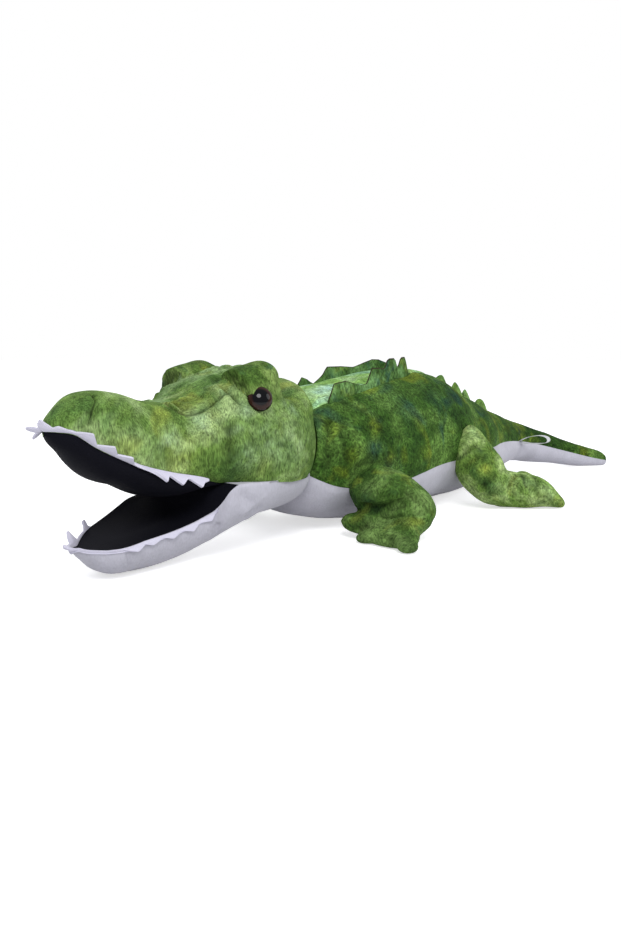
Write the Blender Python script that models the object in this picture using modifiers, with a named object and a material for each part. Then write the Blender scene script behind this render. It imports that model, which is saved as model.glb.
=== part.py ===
"""A stuffed plush crocodile, lying on its belly with its mouth open.

Every form is a sewn skin of shaped fabric panels round a core of stuffing. The lower jaw,
the head and the four legs turn in round seats that are sunk into the larger form they are
sewn to. Metres, +Z up, the tail along +X and the animal's left side at -Y. The origin is
on the floor, under the middle of the belly's flat.
"""

import math

import bmesh
import bpy
from mathutils import Matrix, Vector
from mathutils.bvhtree import BVHTree

# Driving dimensions
BODY_LENGTH = 0.720          # from the neck to the tip of the tail
BODY_HEIGHT = 0.170
BODY_HALF_WIDTH = 0.090
BODY_FRONT_X = -0.180        # the hidden front end, inside the neck's seat
TAIL_SWING = 0.094           # how far the tail's tip bends towards the left
HEAD_BALL_RADIUS = 0.074     # the round back of the head
HEAD_BALL_X = -0.215
HEAD_BALL_Z = 0.102
SNOUT_REACH = 0.237          # from the snout's tip to the middle of the head's ball
HEAD_HEIGHT = 0.180
JAW_HINGE_X = -0.280
JAW_HINGE_Z = 0.046
JAW_ROOT_RADIUS = 0.027
JAW_REACH = 0.151            # from the jaw's tip to its hinge
JAW_HEIGHT = 0.073
JAW_HALF_WIDTH = 0.060
SHOULDER_RADIUS = 0.030
SHOULDER_X = -0.118
SHOULDER_Y = 0.098
SHOULDER_Z = 0.050
HIP_RADIUS = 0.032
HIP_X = 0.105
HIP_Y = 0.099
HIP_Z = 0.052
EYE_DIAMETER = 0.022

# Cloth, seams and gaps
FABRIC = 0.0020              # plush backing and pile
GAP = 0.0003                 # between pieces that touch
FLAT_DEPTH = 0.0005          # how deep the floor presses the forms flat
LINING = 0.0008              # the mouth's thin black cloth
SEAM_DRAW = 0.0002           # how far each panel is drawn in from its seam
CORE_DEPTH = FABRIC + GAP * 2  # how deep the stuffing lies under the outside
LOOSE_DEPTH = 0.0042         # the same where the stuffing's surface is a plainer one
LEG_DEPTH = 0.0027
FELT = 0.0018
OVERRUN = 0.020              # cutters pass the faces that they cut by this much
MERGE_DISTANCE = 0.00002

PLUSH_ROUGHNESS = 0.9
EYE_ROUGHNESS = 0.08
WASHER_ROUGHNESS = 0.5

# Shape of a stuffed section
FIT_ROUNDS = 5
TUBE_SIDES = 6
WIDEST_SHARE = 0.42          # height of the widest place
FULLNESS = 2.2               # 2 is an ellipse, more is boxier
BALL_SIDES = 24
LEG_ROOT_SIDES = 14
ROOT_SIDES = 36
LEAST_HALF = 0.0010          # half thickness of the hollow in a toe's tip
LEAST_FALL_SHARE = 0.3       # of a panel's edge move, where two panels meet steeply
HEAD_WIDEST_SHARE = 0.48

GREEN = (0.16, 0.33, 0.06, 1)
LIGHT_GREEN = (0.30, 0.52, 0.14, 1)
DARK_GREEN = (0.07, 0.20, 0.04, 1)
WHITE = (0.72, 0.70, 0.76, 1)
BLACK = (0.012, 0.012, 0.018, 1)
STUFFING = (0.80, 0.80, 0.78, 1)
FELT_WHITE = (0.78, 0.76, 0.84, 1)
EYE_BROWN = (0.05, 0.015, 0.008, 1)
WASHER_WHITE = (0.85, 0.85, 0.85, 1)

# Along, sideways, bottom, top, half width, side seam and scute row. Along is a share of the
# length, sideways of the tail's swing, the half width and row of the width, the rest of the
# height.
BODY_STATION_SHARES = (
    (0.000, 0.00, 0.300, 0.600, 0.36, 0.440, 0.50),
    (0.035, 0.00, 0.110, 0.790, 0.72, 0.320, 0.50),
    (0.100, 0.00, 0.040, 0.870, 0.95, 0.270, 0.48),
    (0.185, 0.00, 0.000, 0.915, 1.00, 0.292, 0.44),
    (0.285, 0.00, 0.000, 0.970, 1.00, 0.330, 0.38),
    (0.390, 0.00, 0.000, 0.960, 0.95, 0.341, 0.22),
    (0.490, 0.00, 0.010, 0.835, 0.81, 0.345, 0.20),
    (0.595, 0.00, 0.050, 0.705, 0.61, 0.345, 0.20),
    (0.700, 0.00, 0.100, 0.568, 0.44, 0.318, 0.20),
    (0.790, 0.06, 0.092, 0.450, 0.33, 0.262, 0.26),
    (0.870, 0.34, 0.048, 0.315, 0.23, 0.180, 0.32),
    (0.945, 0.71, 0.000, 0.180, 0.15, 0.090, 0.42),
    (0.994, 0.98, 0.006, 0.100, 0.085, 0.050, 0.52),
)
ROWS_END_STATION = 5         # where the two rows of scutes meet

# Along, bottom, top, half width, lip and crown row, up to the middle of the head's ball
HEAD_STATION_SHARES = (
    (0.052, 0.672, 0.780, 0.190, 0.717, 0.40),
    (0.088, 0.618, 0.838, 0.390, 0.702, 0.40),
    (0.152, 0.518, 0.890, 0.510, 0.628, 0.40),
    (0.290, 0.405, 0.866, 0.530, 0.535, 0.40),
    (0.440, 0.342, 0.818, 0.545, 0.465, 0.44),
    (0.580, 0.325, 0.812, 0.660, 0.430, 0.44),
    (0.700, 0.330, 0.890, 0.830, 0.412, 0.38),
    (0.850, 0.160, 0.982, 0.950, 0.400, 0.34),
    (1.000, 0.155, 0.980, 1.000, 0.372, 0.34),
)
NOSE_END_STATION = 2         # the dart that closes the snout's round tip
CROWN_START_STATION = 5
MOUTH_CORNER_STATION = 6
BALL_STATION_DEGREES = (30, 54, 76)

# Along, bottom, lip, half width, crown of the lining over the lip
JAW_STATION_SHARES = (
    (0.094, 0.250, 0.430, 0.26, 0.030),
    (0.140, 0.140, 0.442, 0.43, 0.030),
    (0.240, 0.035, 0.472, 0.59, 0.030),
    (0.420, 0.000, 0.515, 0.64, 0.035),
    (0.640, 0.016, 0.562, 0.67, 0.035),
    (0.810, 0.090, 0.630, 0.75, 0.035),
    (0.900, 0.150, 0.860, 0.90, 0.020),
)
ROOT_STATION_DEGREES = (0, 40, 75)
ROOT_TAPER_SHARE = 0.1       # of the roll's width, lost towards its hidden back
ROOT_SEAM_SHARE = 0.9        # height of the lining's seam on the roll

# The upright turned form at each leg's top: across and up from its middle, as shares of its
# radius
SHOULDER_OUTLINE_SHARES = (
    (0.000, -1.000), (0.500, -0.866), (0.866, -0.500), (1.000, 0.000),
    (0.866, 0.500), (0.500, 0.866), (0.000, 1.000),
)
HIP_OUTLINE_SHARES = (
    (0.00, -1.26), (0.52, -1.14), (0.88, -0.70), (1.00, -0.12),
    (0.92, 0.48), (0.64, 1.02), (0.28, 1.36), (0.00, 1.46),
)
OPENING_SHARE = 0.72         # where the sewn opening is, towards the body
OPENING_REACH_SHARE = 1.2
OPENING_HALF_SHARE = 0.76

# Each leg's tubes: along, outward and up from the same middle, then half breadth and half
# height, all as shares of the radius
ARM_SHARES = (
    (0.00, 0.30, -0.02, 0.90, 0.90),
    (0.16, 1.02, -0.30, 0.90, 0.80),
    (0.36, 1.72, -0.78, 0.62, 0.56),
)
HAND_SHARES = (
    (0.50, 1.62, -0.84, 0.56, 0.56),
    (-0.10, 1.46, -1.04, 0.86, 0.56),
    (-0.80, 1.24, -1.30, 1.26, 0.37),
    (-1.30, 1.16, -1.51, 1.00, 0.17),
)
FRONT_TOE_SHARES = (
    ((-0.80, 1.90, -1.36, 0.44, 0.24), (-1.64, 2.46, -1.55, 0.16, 0.12)),
    ((-0.80, 0.70, -1.36, 0.44, 0.24), (-1.22, 0.02, -1.52, 0.18, 0.14)),
    ((-0.40, 0.66, -1.16, 0.40, 0.28), (-0.62, -0.72, -1.10, 0.15, 0.14)),
)
FOOT_SHARES = (
    (-0.12, 0.46, -0.86, 0.66, 0.60),
    (0.34, 1.34, -0.98, 0.80, 0.66),
    (0.84, 2.10, -1.08, 0.70, 0.54),
    (1.24, 2.76, -1.46, 0.30, 0.18),
)
HIND_TOE_SHARES = (
    ((0.56, 1.60, -0.80, 0.40, 0.36), (0.96, 1.10, -0.44, 0.20, 0.18)),
)

BROW_SHARES = (
    (-1.00, 0.02, -0.42, 0.34, 0.34),
    (-0.66, 0.00, -0.12, 0.86, 0.84),
    (0.00, 0.00, 0.00, 1.02, 1.00),
    (0.60, -0.06, -0.14, 0.86, 0.80),
    (1.00, -0.12, -0.50, 0.36, 0.34),
)
# Along, outward and up from the snout's tip, as shares of the snout's reach, the radius of the
# head's ball and the head's height
BROW_PLACE_SHARES = (0.865, 0.5946, 0.900)
EYE_PLACE_SHARES = (0.8397, 0.7905, 0.8139)
BROW_HALF_LENGTH = 0.037
BROW_RADIUS = 0.019

EYE_TILT_DEGREES = 24        # the eye looks up by this much
EYE_TURN_DEGREES = 16        # and forward by this much
EYE_DOME_HEIGHT = 0.0085
SHANK_RADIUS = 0.0024
SHANK_LENGTH = 0.0100
WASHER_RADIUS = 0.0100
WASHER_THICKNESS = 0.0014
EYE_SIDES = 16
DOME_STEPS = 4

SCUTE_HEIGHT = 0.020
SCUTE_PITCH = 0.044
SCUTE_DROP_SHARE = 0.35      # how low the dip between two scutes stays
SCUTE_END_SHARE = 0.25       # of the height left at either end of a row
RIDGE_HEIGHT = 0.008
RIDGE_START_X = 0.150
RIDGE_END_X = 0.300

TOOTH_BAND = 0.0022          # width of the felt left between two teeth
TOOTH_LENGTH = 0.0080
UPPER_TOOTH_PITCH = 0.0150
LOWER_TOOTH_PITCH = 0.0150

LABEL_X = 0.330
LABEL_LENGTH = 0.028
LABEL_WIDTH = 0.011
LABEL_THICKNESS = 0.0006
LABEL_LEAN_SHARE = 0.5       # how far the label lies back along the tail
LABEL_STEPS = 6


def clear_scene():
    for item in list(bpy.data.objects):
        bpy.data.objects.remove(item, do_unlink=True)


def collection(name):
    made = bpy.data.collections.new(name)
    bpy.context.scene.collection.children.link(made)
    return made


def material(name, colour, roughness):
    made = bpy.data.materials.new(name)
    made.use_nodes = True
    shader = made.node_tree.nodes["Principled BSDF"]
    shader.inputs["Base Color"].default_value = colour
    shader.inputs["Roughness"].default_value = roughness
    shader.inputs["Metallic"].default_value = 0.0
    return made


def add_object(name, mesh, group, colour=None, roughness=PLUSH_ROUGHNESS):
    made = bpy.data.objects.new(name, mesh)
    group.objects.link(made)
    if colour is not None:
        mesh.materials.clear()
        mesh.materials.append(material(name, colour, roughness))
        for face in mesh.polygons:
            face.material_index = 0
        mesh.shade_smooth()
    return made


def mesh_from(bm, name):
    bmesh.ops.recalc_face_normals(bm, faces=bm.faces)
    mesh = bpy.data.meshes.new(name)
    bm.to_mesh(mesh)
    bm.free()
    return mesh


def hide_as_cutter(item):
    item.hide_render = True
    item.display_type = "WIRE"
    return item


def evaluated_mesh(item):
    """The object's mesh with its modifiers applied."""
    graph = bpy.context.evaluated_depsgraph_get()
    return bpy.data.meshes.new_from_object(item.evaluated_get(graph))


def boolean(item, other, operation="DIFFERENCE"):
    modifier = item.modifiers.new(other.name, "BOOLEAN")
    modifier.operation = operation
    modifier.object = other
    modifier.solver = "EXACT"


def subdivide(item):
    modifier = item.modifiers.new("rounding", "SUBSURF")
    modifier.levels = 1
    modifier.render_levels = 1
    modifier.use_limit_surface = False


def fit_cage(bm):
    """Moves a cage's corners outwards until the rounded form passes through their places."""
    targets = [vert.co.copy() for vert in bm.verts]
    for _ in range(FIT_ROUNDS):
        rounded = []
        for vert in bm.verts:
            count = len(vert.link_faces)
            faces = sum((face.calc_center_median() for face in vert.link_faces), Vector()) / count
            ends = sum((edge.other_vert(vert).co for edge in vert.link_edges), Vector()) / count
            middle = (ends + vert.co) / 2
            rounded.append((faces + 2 * middle + (count - 3) * vert.co) / count)
        for vert, target, now in zip(bm.verts, targets, rounded):
            vert.co += target - now


def seat_radius(radius, sides):
    """A faceted seat round a ball: its flats clear the ball's corners by the gap."""
    return (radius + GAP) / math.cos(math.pi / sides) ** 2


def section(half_width, bottom, top, seam, row, middle):
    """Across and height from the top centre down one side to the bottom centre.

    The seam is always a corner of the outline, and so is the row where there is one.
    """
    power = 2 / FULLNESS
    if seam >= middle:
        seam_angle = math.acos(((seam - middle) / (top - middle)) ** (1 / power))
    else:
        seam_angle = math.pi - math.acos(((middle - seam) / (middle - bottom)) ** (1 / power))
    angles = [0, seam_angle / 2, seam_angle, (seam_angle + math.pi) / 2, math.pi]
    if row:
        row_angle = math.asin(row ** (1 / power))
        angles[1:2] = [row_angle, (row_angle + seam_angle) / 2]
    points = []
    for angle in angles:
        rise = top - middle if angle < math.pi / 2 else bottom - middle
        across = half_width * abs(math.sin(angle)) ** power
        height = rise * abs(math.cos(angle)) ** power
        points.append((across, middle + height))
    return points


def ring_from(points, centre, side):
    """The whole ring: down the left side, and up the right one."""
    left = [centre - side * across + Vector((0, 0, height)) for across, height in points]
    right = [centre + side * across + Vector((0, 0, height)) for across, height in points]
    return left + right[-2:0:-1]


def loft(rings, panel_of, front=0, back=0):
    """A closed cage through the rings, each quad marked with the panel that it belongs to."""
    bm = bmesh.new()
    rows = [[bm.verts.new(point) for point in ring] for ring in rings]
    count = len(rings[0])
    for station in range(len(rows) - 1):
        for segment in range(count):
            after = (segment + 1) % count
            face = bm.faces.new((rows[station][segment], rows[station][after],
                                 rows[station + 1][after], rows[station + 1][segment]))
            face.material_index = panel_of(station, segment)
    first = bm.faces.new(rows[0])
    first.material_index = front
    last = bm.faces.new(rows[-1])
    last.material_index = back
    return bm


def rounded_form(name, bm, panel_count, cutters):
    """The subdivided form that the panels are taken from, and the coarse one for the core."""
    bmesh.ops.recalc_face_normals(bm, faces=bm.faces)
    coarse = bpy.data.meshes.new(name + "_coarse")
    bm.to_mesh(coarse)
    fit_cage(bm)
    guide = add_object(name, mesh_from(bm, name), cutters)
    for _ in range(panel_count):
        guide.data.materials.append(None)
    subdivide(guide)
    mesh = evaluated_mesh(guide)
    bpy.data.objects.remove(guide, do_unlink=True)
    return mesh, coarse


def shrunk(mesh, depth):
    """A copy of a closed form with its surface moved inwards by the depth."""
    bm = bmesh.new()
    bm.from_mesh(mesh)
    bm.normal_update()
    moves = [vert.normal * depth * vert.calc_shell_factor() for vert in bm.verts]
    for vert, move in zip(bm.verts, moves):
        vert.co -= move
    for face in bm.faces:
        face.material_index = 0
    made = bpy.data.meshes.new(mesh.name + "_shrunk")
    bm.to_mesh(made)
    bm.free()
    return made


def panel(name, form, index, group, colour, thickness=FABRIC):
    """One panel of the skin: its faces of the form, drawn in from its seams, then thickened."""
    bm = bmesh.new()
    bm.from_mesh(form)
    bm.normal_update()
    whole_normals = [vert.normal.copy() for vert in bm.verts]
    keep = bm.verts.layers.int.new("whole")
    for vert in bm.verts:
        vert[keep] = vert.index
    others = [face for face in bm.faces if face.material_index != index]
    bmesh.ops.delete(bm, geom=others, context="FACES")
    bm.normal_update()
    moves = []
    for vert in bm.verts:
        if not vert.is_boundary:
            continue
        normal = whole_normals[vert[keep]]
        inner = Vector()
        for edge in vert.link_edges:
            if edge.is_boundary:
                along = (edge.other_vert(vert).co - vert.co).normalized()
                across = edge.link_faces[0].calc_center_median() - vert.co
                inner += (across - along * across.dot(along)).normalized() / 2
        inward = (inner - vert.normal * inner.dot(vert.normal)).normalized()
        flat_in = (inward - normal * inward.dot(normal)).normalized()
        lean = vert.normal.dot(flat_in)
        fall = max(normal.dot(vert.normal) * inner.length, LEAST_FALL_SHARE)
        moves.append((vert, inward * (SEAM_DRAW + FABRIC * max(lean, 0)) / fall))
    for vert, move in moves:
        vert.co += move
    mesh = bpy.data.meshes.new(name)
    bm.to_mesh(mesh)
    bm.free()
    made = add_object(name, mesh, group, colour)
    solid = made.modifiers.new("fabric", "SOLIDIFY")
    solid.thickness = thickness
    solid.offset = -1
    solid.use_even_offset = True
    return made


def tube(name, stations, unit, centre, side, inset, group, fine=True):
    """A stuffed tube through stations given as shares of the unit, from the leg's middle."""
    middles = []
    for along, outward, up, *_ in stations:
        middles.append(centre + Vector((along * unit, side * outward * unit, up * unit)))
    last = len(middles) - 1
    rings = []
    for index, (_, _, _, breadth, height) in enumerate(stations):
        ahead = middles[min(index + 1, last)] - middles[max(index - 1, 0)]
        ahead.normalize()
        across = Vector((0, 0, 1)).cross(ahead).normalized()
        rise = ahead.cross(across).normalized()
        middle = middles[index].copy()
        if index == 0:
            middle += ahead * inset
        if index == last:
            middle -= ahead * inset
        least = LEAST_HALF * FABRIC / inset if inset else 0
        half_breadth = max(breadth * unit - inset, least)
        half_height = max(height * unit - inset, least)
        ring = []
        for step in range(TUBE_SIDES):
            angle = math.tau * step / TUBE_SIDES
            ring.append(middle + across * half_breadth * math.cos(angle)
                        + rise * half_height * math.sin(angle))
        rings.append(ring)
    bm = loft(rings, lambda *_: 0)
    if fine:
        fit_cage(bm)
    else:
        bmesh.ops.triangulate(bm, faces=bm.faces, quad_method="SHORT_EDGE")
    made = add_object(name, mesh_from(bm, name), group)
    if fine:
        subdivide(made)
    return made


def ball(name, centre, radius, sides, group):
    bm = bmesh.new()
    bmesh.ops.create_uvsphere(bm, u_segments=sides, v_segments=sides // 2, radius=radius,
                              matrix=Matrix.Translation(centre))
    return add_object(name, mesh_from(bm, name), group)


def offset_outline(outline, distance):
    """A turned outline, from its lowest point up, moved outwards square to its own slopes."""
    mirrored_first = (-outline[1][0], outline[1][1])
    mirrored_last = (-outline[-2][0], outline[-2][1])
    points = [mirrored_first, *outline, mirrored_last]
    moved = []
    for before, here, after in zip(points, points[1:], points[2:]):
        first = Vector((here[0] - before[0], here[1] - before[1])).normalized()
        second = Vector((after[0] - here[0], after[1] - here[1])).normalized()
        normal = Vector((first.y + second.y, -first.x - second.x)).normalized()
        reach = distance / normal.dot(Vector((first.y, -first.x)))
        across = here[0] + normal.x * reach if here[0] else 0
        moved.append((across, here[1] + normal.y * reach))
    return moved


def leg_root(name, shares, unit, centre, distance, group, widen=1):
    """The upright turned form at a leg's top, with its outline moved by the distance."""
    outline = [(across * unit, up * unit) for across, up in shares]
    outline = [(across * widen, up) for across, up in offset_outline(outline, distance)]
    return turned(name, outline, Matrix.Translation(centre), LEG_ROOT_SIDES, group)


def leg_form(name, limb, centre, side, inset, cutters, fine):
    """The leg's outer form drawn in by the inset: its root, its tubes and its toes in one."""
    outline, tubes, toes, unit = limb
    whole = leg_root(name, outline, unit, centre, -inset, cutters)
    if inset < LEG_DEPTH:
        tubes = tubes + toes
    for number, stations in enumerate(tubes):
        piece = tube(f"{name}_tube_{number}", stations, unit, centre, side, inset, cutters,
                     fine and stations not in toes)
        boolean(whole, hide_as_cutter(piece), "UNION")
    mesh = evaluated_mesh(whole)
    for item in [modifier.object for modifier in whole.modifiers]:
        bpy.data.objects.remove(item, do_unlink=True)
    bpy.data.objects.remove(whole, do_unlink=True)
    return mesh


def box(name, low, high, group):
    bm = bmesh.new()
    size = Vector(high) - Vector(low)
    middle = (Vector(high) + Vector(low)) / 2
    bmesh.ops.create_cube(bm, size=1, matrix=Matrix.Translation(middle) @ Matrix.Diagonal(
        (size.x, size.y, size.z, 1)))
    return add_object(name, mesh_from(bm, name), group)


def body_form(cutters):
    """The trunk and the tail in one, bent to the left near the tail's end."""
    places = []
    for along, sideways, *_ in BODY_STATION_SHARES:
        places.append(Vector((BODY_FRONT_X + along * BODY_LENGTH, -sideways * TAIL_SWING, 0)))
    last = len(places) - 1
    rings = []
    for index, (_, _, low, high, width, seam, row) in enumerate(BODY_STATION_SHARES):
        ahead = (places[min(index + 1, last)] - places[max(index - 1, 0)]).normalized()
        side = Vector((-ahead.y, ahead.x, 0))
        bottom = low * BODY_HEIGHT - FLAT_DEPTH
        top = high * BODY_HEIGHT
        middle = bottom + WIDEST_SHARE * (top - bottom)
        points = section(width * BODY_HALF_WIDTH, bottom, top, seam * BODY_HEIGHT, row, middle)
        rings.append(ring_from(points, places[index], side))

    def panel_of(station, segment):
        if segment in (0, 9):
            if station < ROWS_END_STATION:
                return 0
            return 1 if segment == 0 else 2
        if segment in (1, 2):
            return 1
        if segment in (7, 8):
            return 2
        return 3

    unskinned = 4
    cage = loft(rings, panel_of, unskinned, unskinned)
    return rounded_form("body_form", cage, 5, cutters)


def head_form(cutters):
    """The snout, the cheeks and the round back of the head, which is a true ball."""
    tip_x = HEAD_BALL_X - SNOUT_REACH
    rings = []
    side = Vector((0, 1, 0))
    for along, low, high, width, lip, row in HEAD_STATION_SHARES:
        bottom = low * HEAD_HEIGHT
        top = high * HEAD_HEIGHT
        middle = bottom + HEAD_WIDEST_SHARE * (top - bottom)
        points = section(width * HEAD_BALL_RADIUS, bottom, top, lip * HEAD_HEIGHT, row, middle)
        rings.append(ring_from(points, Vector((tip_x + along * SNOUT_REACH, 0, 0)), side))
    seam = HEAD_STATION_SHARES[-1][4] * HEAD_HEIGHT
    row = HEAD_STATION_SHARES[-1][5]
    for degrees in BALL_STATION_DEGREES:
        angle = math.radians(degrees)
        radius = HEAD_BALL_RADIUS * math.cos(angle)
        low_seam = HEAD_BALL_Z + (seam - HEAD_BALL_Z) * math.cos(angle)
        points = section(radius, HEAD_BALL_Z - radius, HEAD_BALL_Z + radius, low_seam, row,
                         HEAD_BALL_Z)
        centre = Vector((HEAD_BALL_X + HEAD_BALL_RADIUS * math.sin(angle), 0, 0))
        rings.append(ring_from(points, centre, side))

    def panel_of(station, segment):
        if segment in (3, 4, 5, 6):
            return 5 if station < MOUTH_CORNER_STATION else 4
        if station < NOSE_END_STATION:
            return 0
        if segment in (0, 9) and station >= CROWN_START_STATION:
            return 1
        return 2 if segment in (0, 1, 2) else 3

    mesh = rounded_form("head_form", loft(rings, panel_of, 0, 4), 6, cutters)[0]
    centre = Vector((HEAD_BALL_X, 0, HEAD_BALL_Z))
    for vert in mesh.vertices:
        if vert.co.x > HEAD_BALL_X:
            vert.co = centre + (vert.co - centre).normalized() * HEAD_BALL_RADIUS
    return mesh


def jaw_form(name, inset, cutters):
    """The lower jaw, whose root is a round roll that turns under the cheeks."""
    tip_x = JAW_HINGE_X - JAW_REACH
    radius = JAW_ROOT_RADIUS - inset
    rings = []
    side = Vector((0, 1, 0))
    for along, low, lip, width, crown in JAW_STATION_SHARES:
        bottom = low * JAW_HEIGHT - FLAT_DEPTH + inset
        seam = lip * JAW_HEIGHT - inset
        top = seam + crown * JAW_HEIGHT
        x = tip_x + along * JAW_REACH + (1 - along) * inset * 2
        points = section(width * JAW_HALF_WIDTH - inset, bottom, top, seam, 0, seam)
        rings.append(ring_from(points, Vector((x, 0, 0)), side))
    for degrees in ROOT_STATION_DEGREES:
        angle = math.radians(degrees)
        rise = radius * math.cos(angle)
        width = JAW_HALF_WIDTH * (1 - ROOT_TAPER_SHARE * math.sin(angle))
        width -= inset * (1 + 2 * math.sin(angle))
        seam = JAW_HINGE_Z + ROOT_SEAM_SHARE * rise
        points = section(width, JAW_HINGE_Z - rise, JAW_HINGE_Z + rise, seam, 0, JAW_HINGE_Z)
        centre = Vector((JAW_HINGE_X + radius * math.sin(angle), 0, 0))
        rings.append(ring_from(points, centre, side))

    def panel_of(station, segment):
        return 1 if segment in (2, 3, 4, 5) else 0

    mesh = rounded_form(name, loft(rings, panel_of, 0, 1), 2, cutters)[0]
    for vert in mesh.vertices:
        out = Vector((vert.co.x - JAW_HINGE_X, 0, vert.co.z - JAW_HINGE_Z))
        if (out.x > 0 or out.z > 0) and out.x > -radius and out.length > radius:
            out *= radius / out.length
            vert.co.x = JAW_HINGE_X + out.x
            vert.co.z = JAW_HINGE_Z + out.z
    bm = bmesh.new()
    bm.from_mesh(mesh)
    bmesh.ops.triangulate(bm, faces=bm.faces, quad_method="SHORT_EDGE")
    bm.to_mesh(mesh)
    bm.free()
    return mesh


def seam_line(form, first, seconds, low_x, high_x):
    """The places and normals along a seam, walked from its front or left end."""
    bm = bmesh.new()
    bm.from_mesh(form)
    bm.normal_update()
    next_to = {}
    for edge in bm.edges:
        kinds = {face.material_index for face in edge.link_faces}
        if len(kinds) != 2 or first not in kinds or not kinds & seconds:
            continue
        if all(low_x <= vert.co.x <= high_x for vert in edge.verts):
            start, end = edge.verts
            next_to.setdefault(start, []).append(end)
            next_to.setdefault(end, []).append(start)
    ends = [vert for vert, near in next_to.items() if len(near) == 1]
    here = min(ends, key=lambda vert: (round(vert.co.x / GAP), vert.co.y))
    walked = [here]
    while True:
        ahead = [vert for vert in next_to[here] if vert not in walked]
        if not ahead:
            break
        here = ahead[0]
        walked.append(here)
    line = [(vert.co.copy(), vert.normal.copy()) for vert in walked]
    bm.free()
    return line


def resampled(line, pitch):
    """Every corner of the seam, with points between them no further apart than the pitch."""
    places = []
    for (start, start_normal), (end, end_normal) in zip(line, line[1:]):
        steps = max(1, math.ceil((end - start).length / pitch))
        for step in range(steps):
            share = step / steps
            places.append((start.lerp(end, share), start_normal.lerp(end_normal, share)))
    places.append(line[-1])
    return places


def fin(name, line, height_at, thickness, group, colour):
    """A thin standing strip along a seam, with a height that changes along it."""
    bm = bmesh.new()
    travelled = 0
    previous = line[0][0]
    pairs = []
    for place, normal in line:
        travelled += (place - previous).length
        previous = place
        out = normal.normalized()
        foot = bm.verts.new(place + out * GAP)
        crest = bm.verts.new(place + out * (GAP + height_at(travelled)))
        pairs.append((foot, crest))
    for (foot, crest), (next_foot, next_crest) in zip(pairs, pairs[1:]):
        bm.faces.new((foot, next_foot, next_crest, crest))
    made = add_object(name, mesh_from(bm, name), group, colour)
    solid = made.modifiers.new("cloth", "SOLIDIFY")
    solid.thickness = thickness
    solid.offset = 0


def line_length(line):
    return sum((after[0] - before[0]).length for before, after in zip(line, line[1:]))


def build_body(parts, form, coarse, neck_seat, leg_seats, floor):
    names = ("back_panel", "side_panel_left", "side_panel_right", "belly_panel")
    colours = (LIGHT_GREEN, GREEN, GREEN, WHITE)
    fill = add_object("body_stuffing", shrunk(coarse, LOOSE_DEPTH), parts, STUFFING)
    pieces = [panel(name, form, index, parts, colour)
              for index, (name, colour) in enumerate(zip(names, colours))]
    for item in pieces + [fill]:
        boolean(item, neck_seat)
    sides = {-1: pieces[1], 1: pieces[2]}
    belly = pieces[3]
    for side, seat in leg_seats:
        for item in (fill, belly, sides[side]):
            boolean(item, seat)
    boolean(belly, floor)


def scute_height(length):
    """Rounded points a pitch apart that fade in at the front and out at the back."""
    def height_at(travelled):
        wave = abs(math.sin(math.pi * travelled / SCUTE_PITCH))
        fade = min(1, travelled / SCUTE_PITCH, (length - travelled) / SCUTE_PITCH)
        level = SCUTE_DROP_SHARE + (1 - SCUTE_DROP_SHARE) * wave
        end_level = SCUTE_END_SHARE + (1 - SCUTE_END_SHARE) * fade
        return max(SCUTE_HEIGHT * level * end_level, FABRIC)
    return height_at


def build_scutes(parts, form):
    front = BODY_FRONT_X + BODY_STATION_SHARES[2][0] * BODY_LENGTH + GAP
    back = BODY_FRONT_X + BODY_STATION_SHARES[ROWS_END_STATION][0] * BODY_LENGTH - FABRIC * 4
    pitch = SCUTE_PITCH / 4
    for name, index in (("scutes_left", 1), ("scutes_right", 2)):
        line = resampled(seam_line(form, 0, {index}, front, back), pitch)
        fin(name, line, scute_height(line_length(line)), FABRIC, parts, DARK_GREEN)
    line = resampled(seam_line(form, 1, {2}, RIDGE_START_X, RIDGE_END_X), pitch)
    length = line_length(line)

    def ridge_height(travelled):
        wave = abs(math.sin(math.pi * travelled / SCUTE_PITCH))
        return max(RIDGE_HEIGHT * wave * (1 - travelled / length / 2), FABRIC)

    fin("tail_ridge", line, ridge_height, FABRIC, parts, DARK_GREEN)


def build_head(parts, form, root_seat, eyes):
    names = ("nose_panel", "crown_panel", "cheek_panel_left", "cheek_panel_right",
             "throat_panel", "palate_lining")
    colours = (LIGHT_GREEN, LIGHT_GREEN, GREEN, GREEN, WHITE, BLACK)
    fill = add_object("head_stuffing", shrunk(form, CORE_DEPTH), parts, STUFFING)
    pieces = []
    for index, (name, colour) in enumerate(zip(names, colours)):
        thickness = LINING if colour is BLACK else FABRIC
        pieces.append(panel(name, form, index, parts, colour, thickness))
    for item in pieces[2:] + [fill]:
        boolean(item, root_seat)
    for cheek, (shank_seat, washer_seat, eye_room) in zip(pieces[2:4], eyes):
        boolean(cheek, shank_seat)
        boolean(cheek, eye_room)
        boolean(fill, washer_seat)


def build_jaw(parts, form, core, floor):
    add_object("jaw_stuffing", core, parts, STUFFING)
    panel("jaw_lining", form, 0, parts, BLACK, LINING)
    skin = panel("jaw_panel", form, 1, parts, WHITE)
    boolean(skin, floor)


def build_teeth(name, line, pitch, parts):
    """A felt band with pointed teeth, sewn into the lip."""
    length = line_length(line)
    count = round(length / pitch)
    step = length / count

    def height_at(travelled):
        share = travelled / step % 1
        rise = 1 - abs(2 * share - 1)
        return TOOTH_BAND + TOOTH_LENGTH * rise

    fin(name, resampled(line, step / 2), height_at, FELT, parts, FELT_WHITE)


def place_on_head(shares, side):
    along, outward, up = shares
    return Vector((HEAD_BALL_X - (1 - along) * SNOUT_REACH, side * outward * HEAD_BALL_RADIUS,
                   up * HEAD_HEIGHT))


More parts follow.
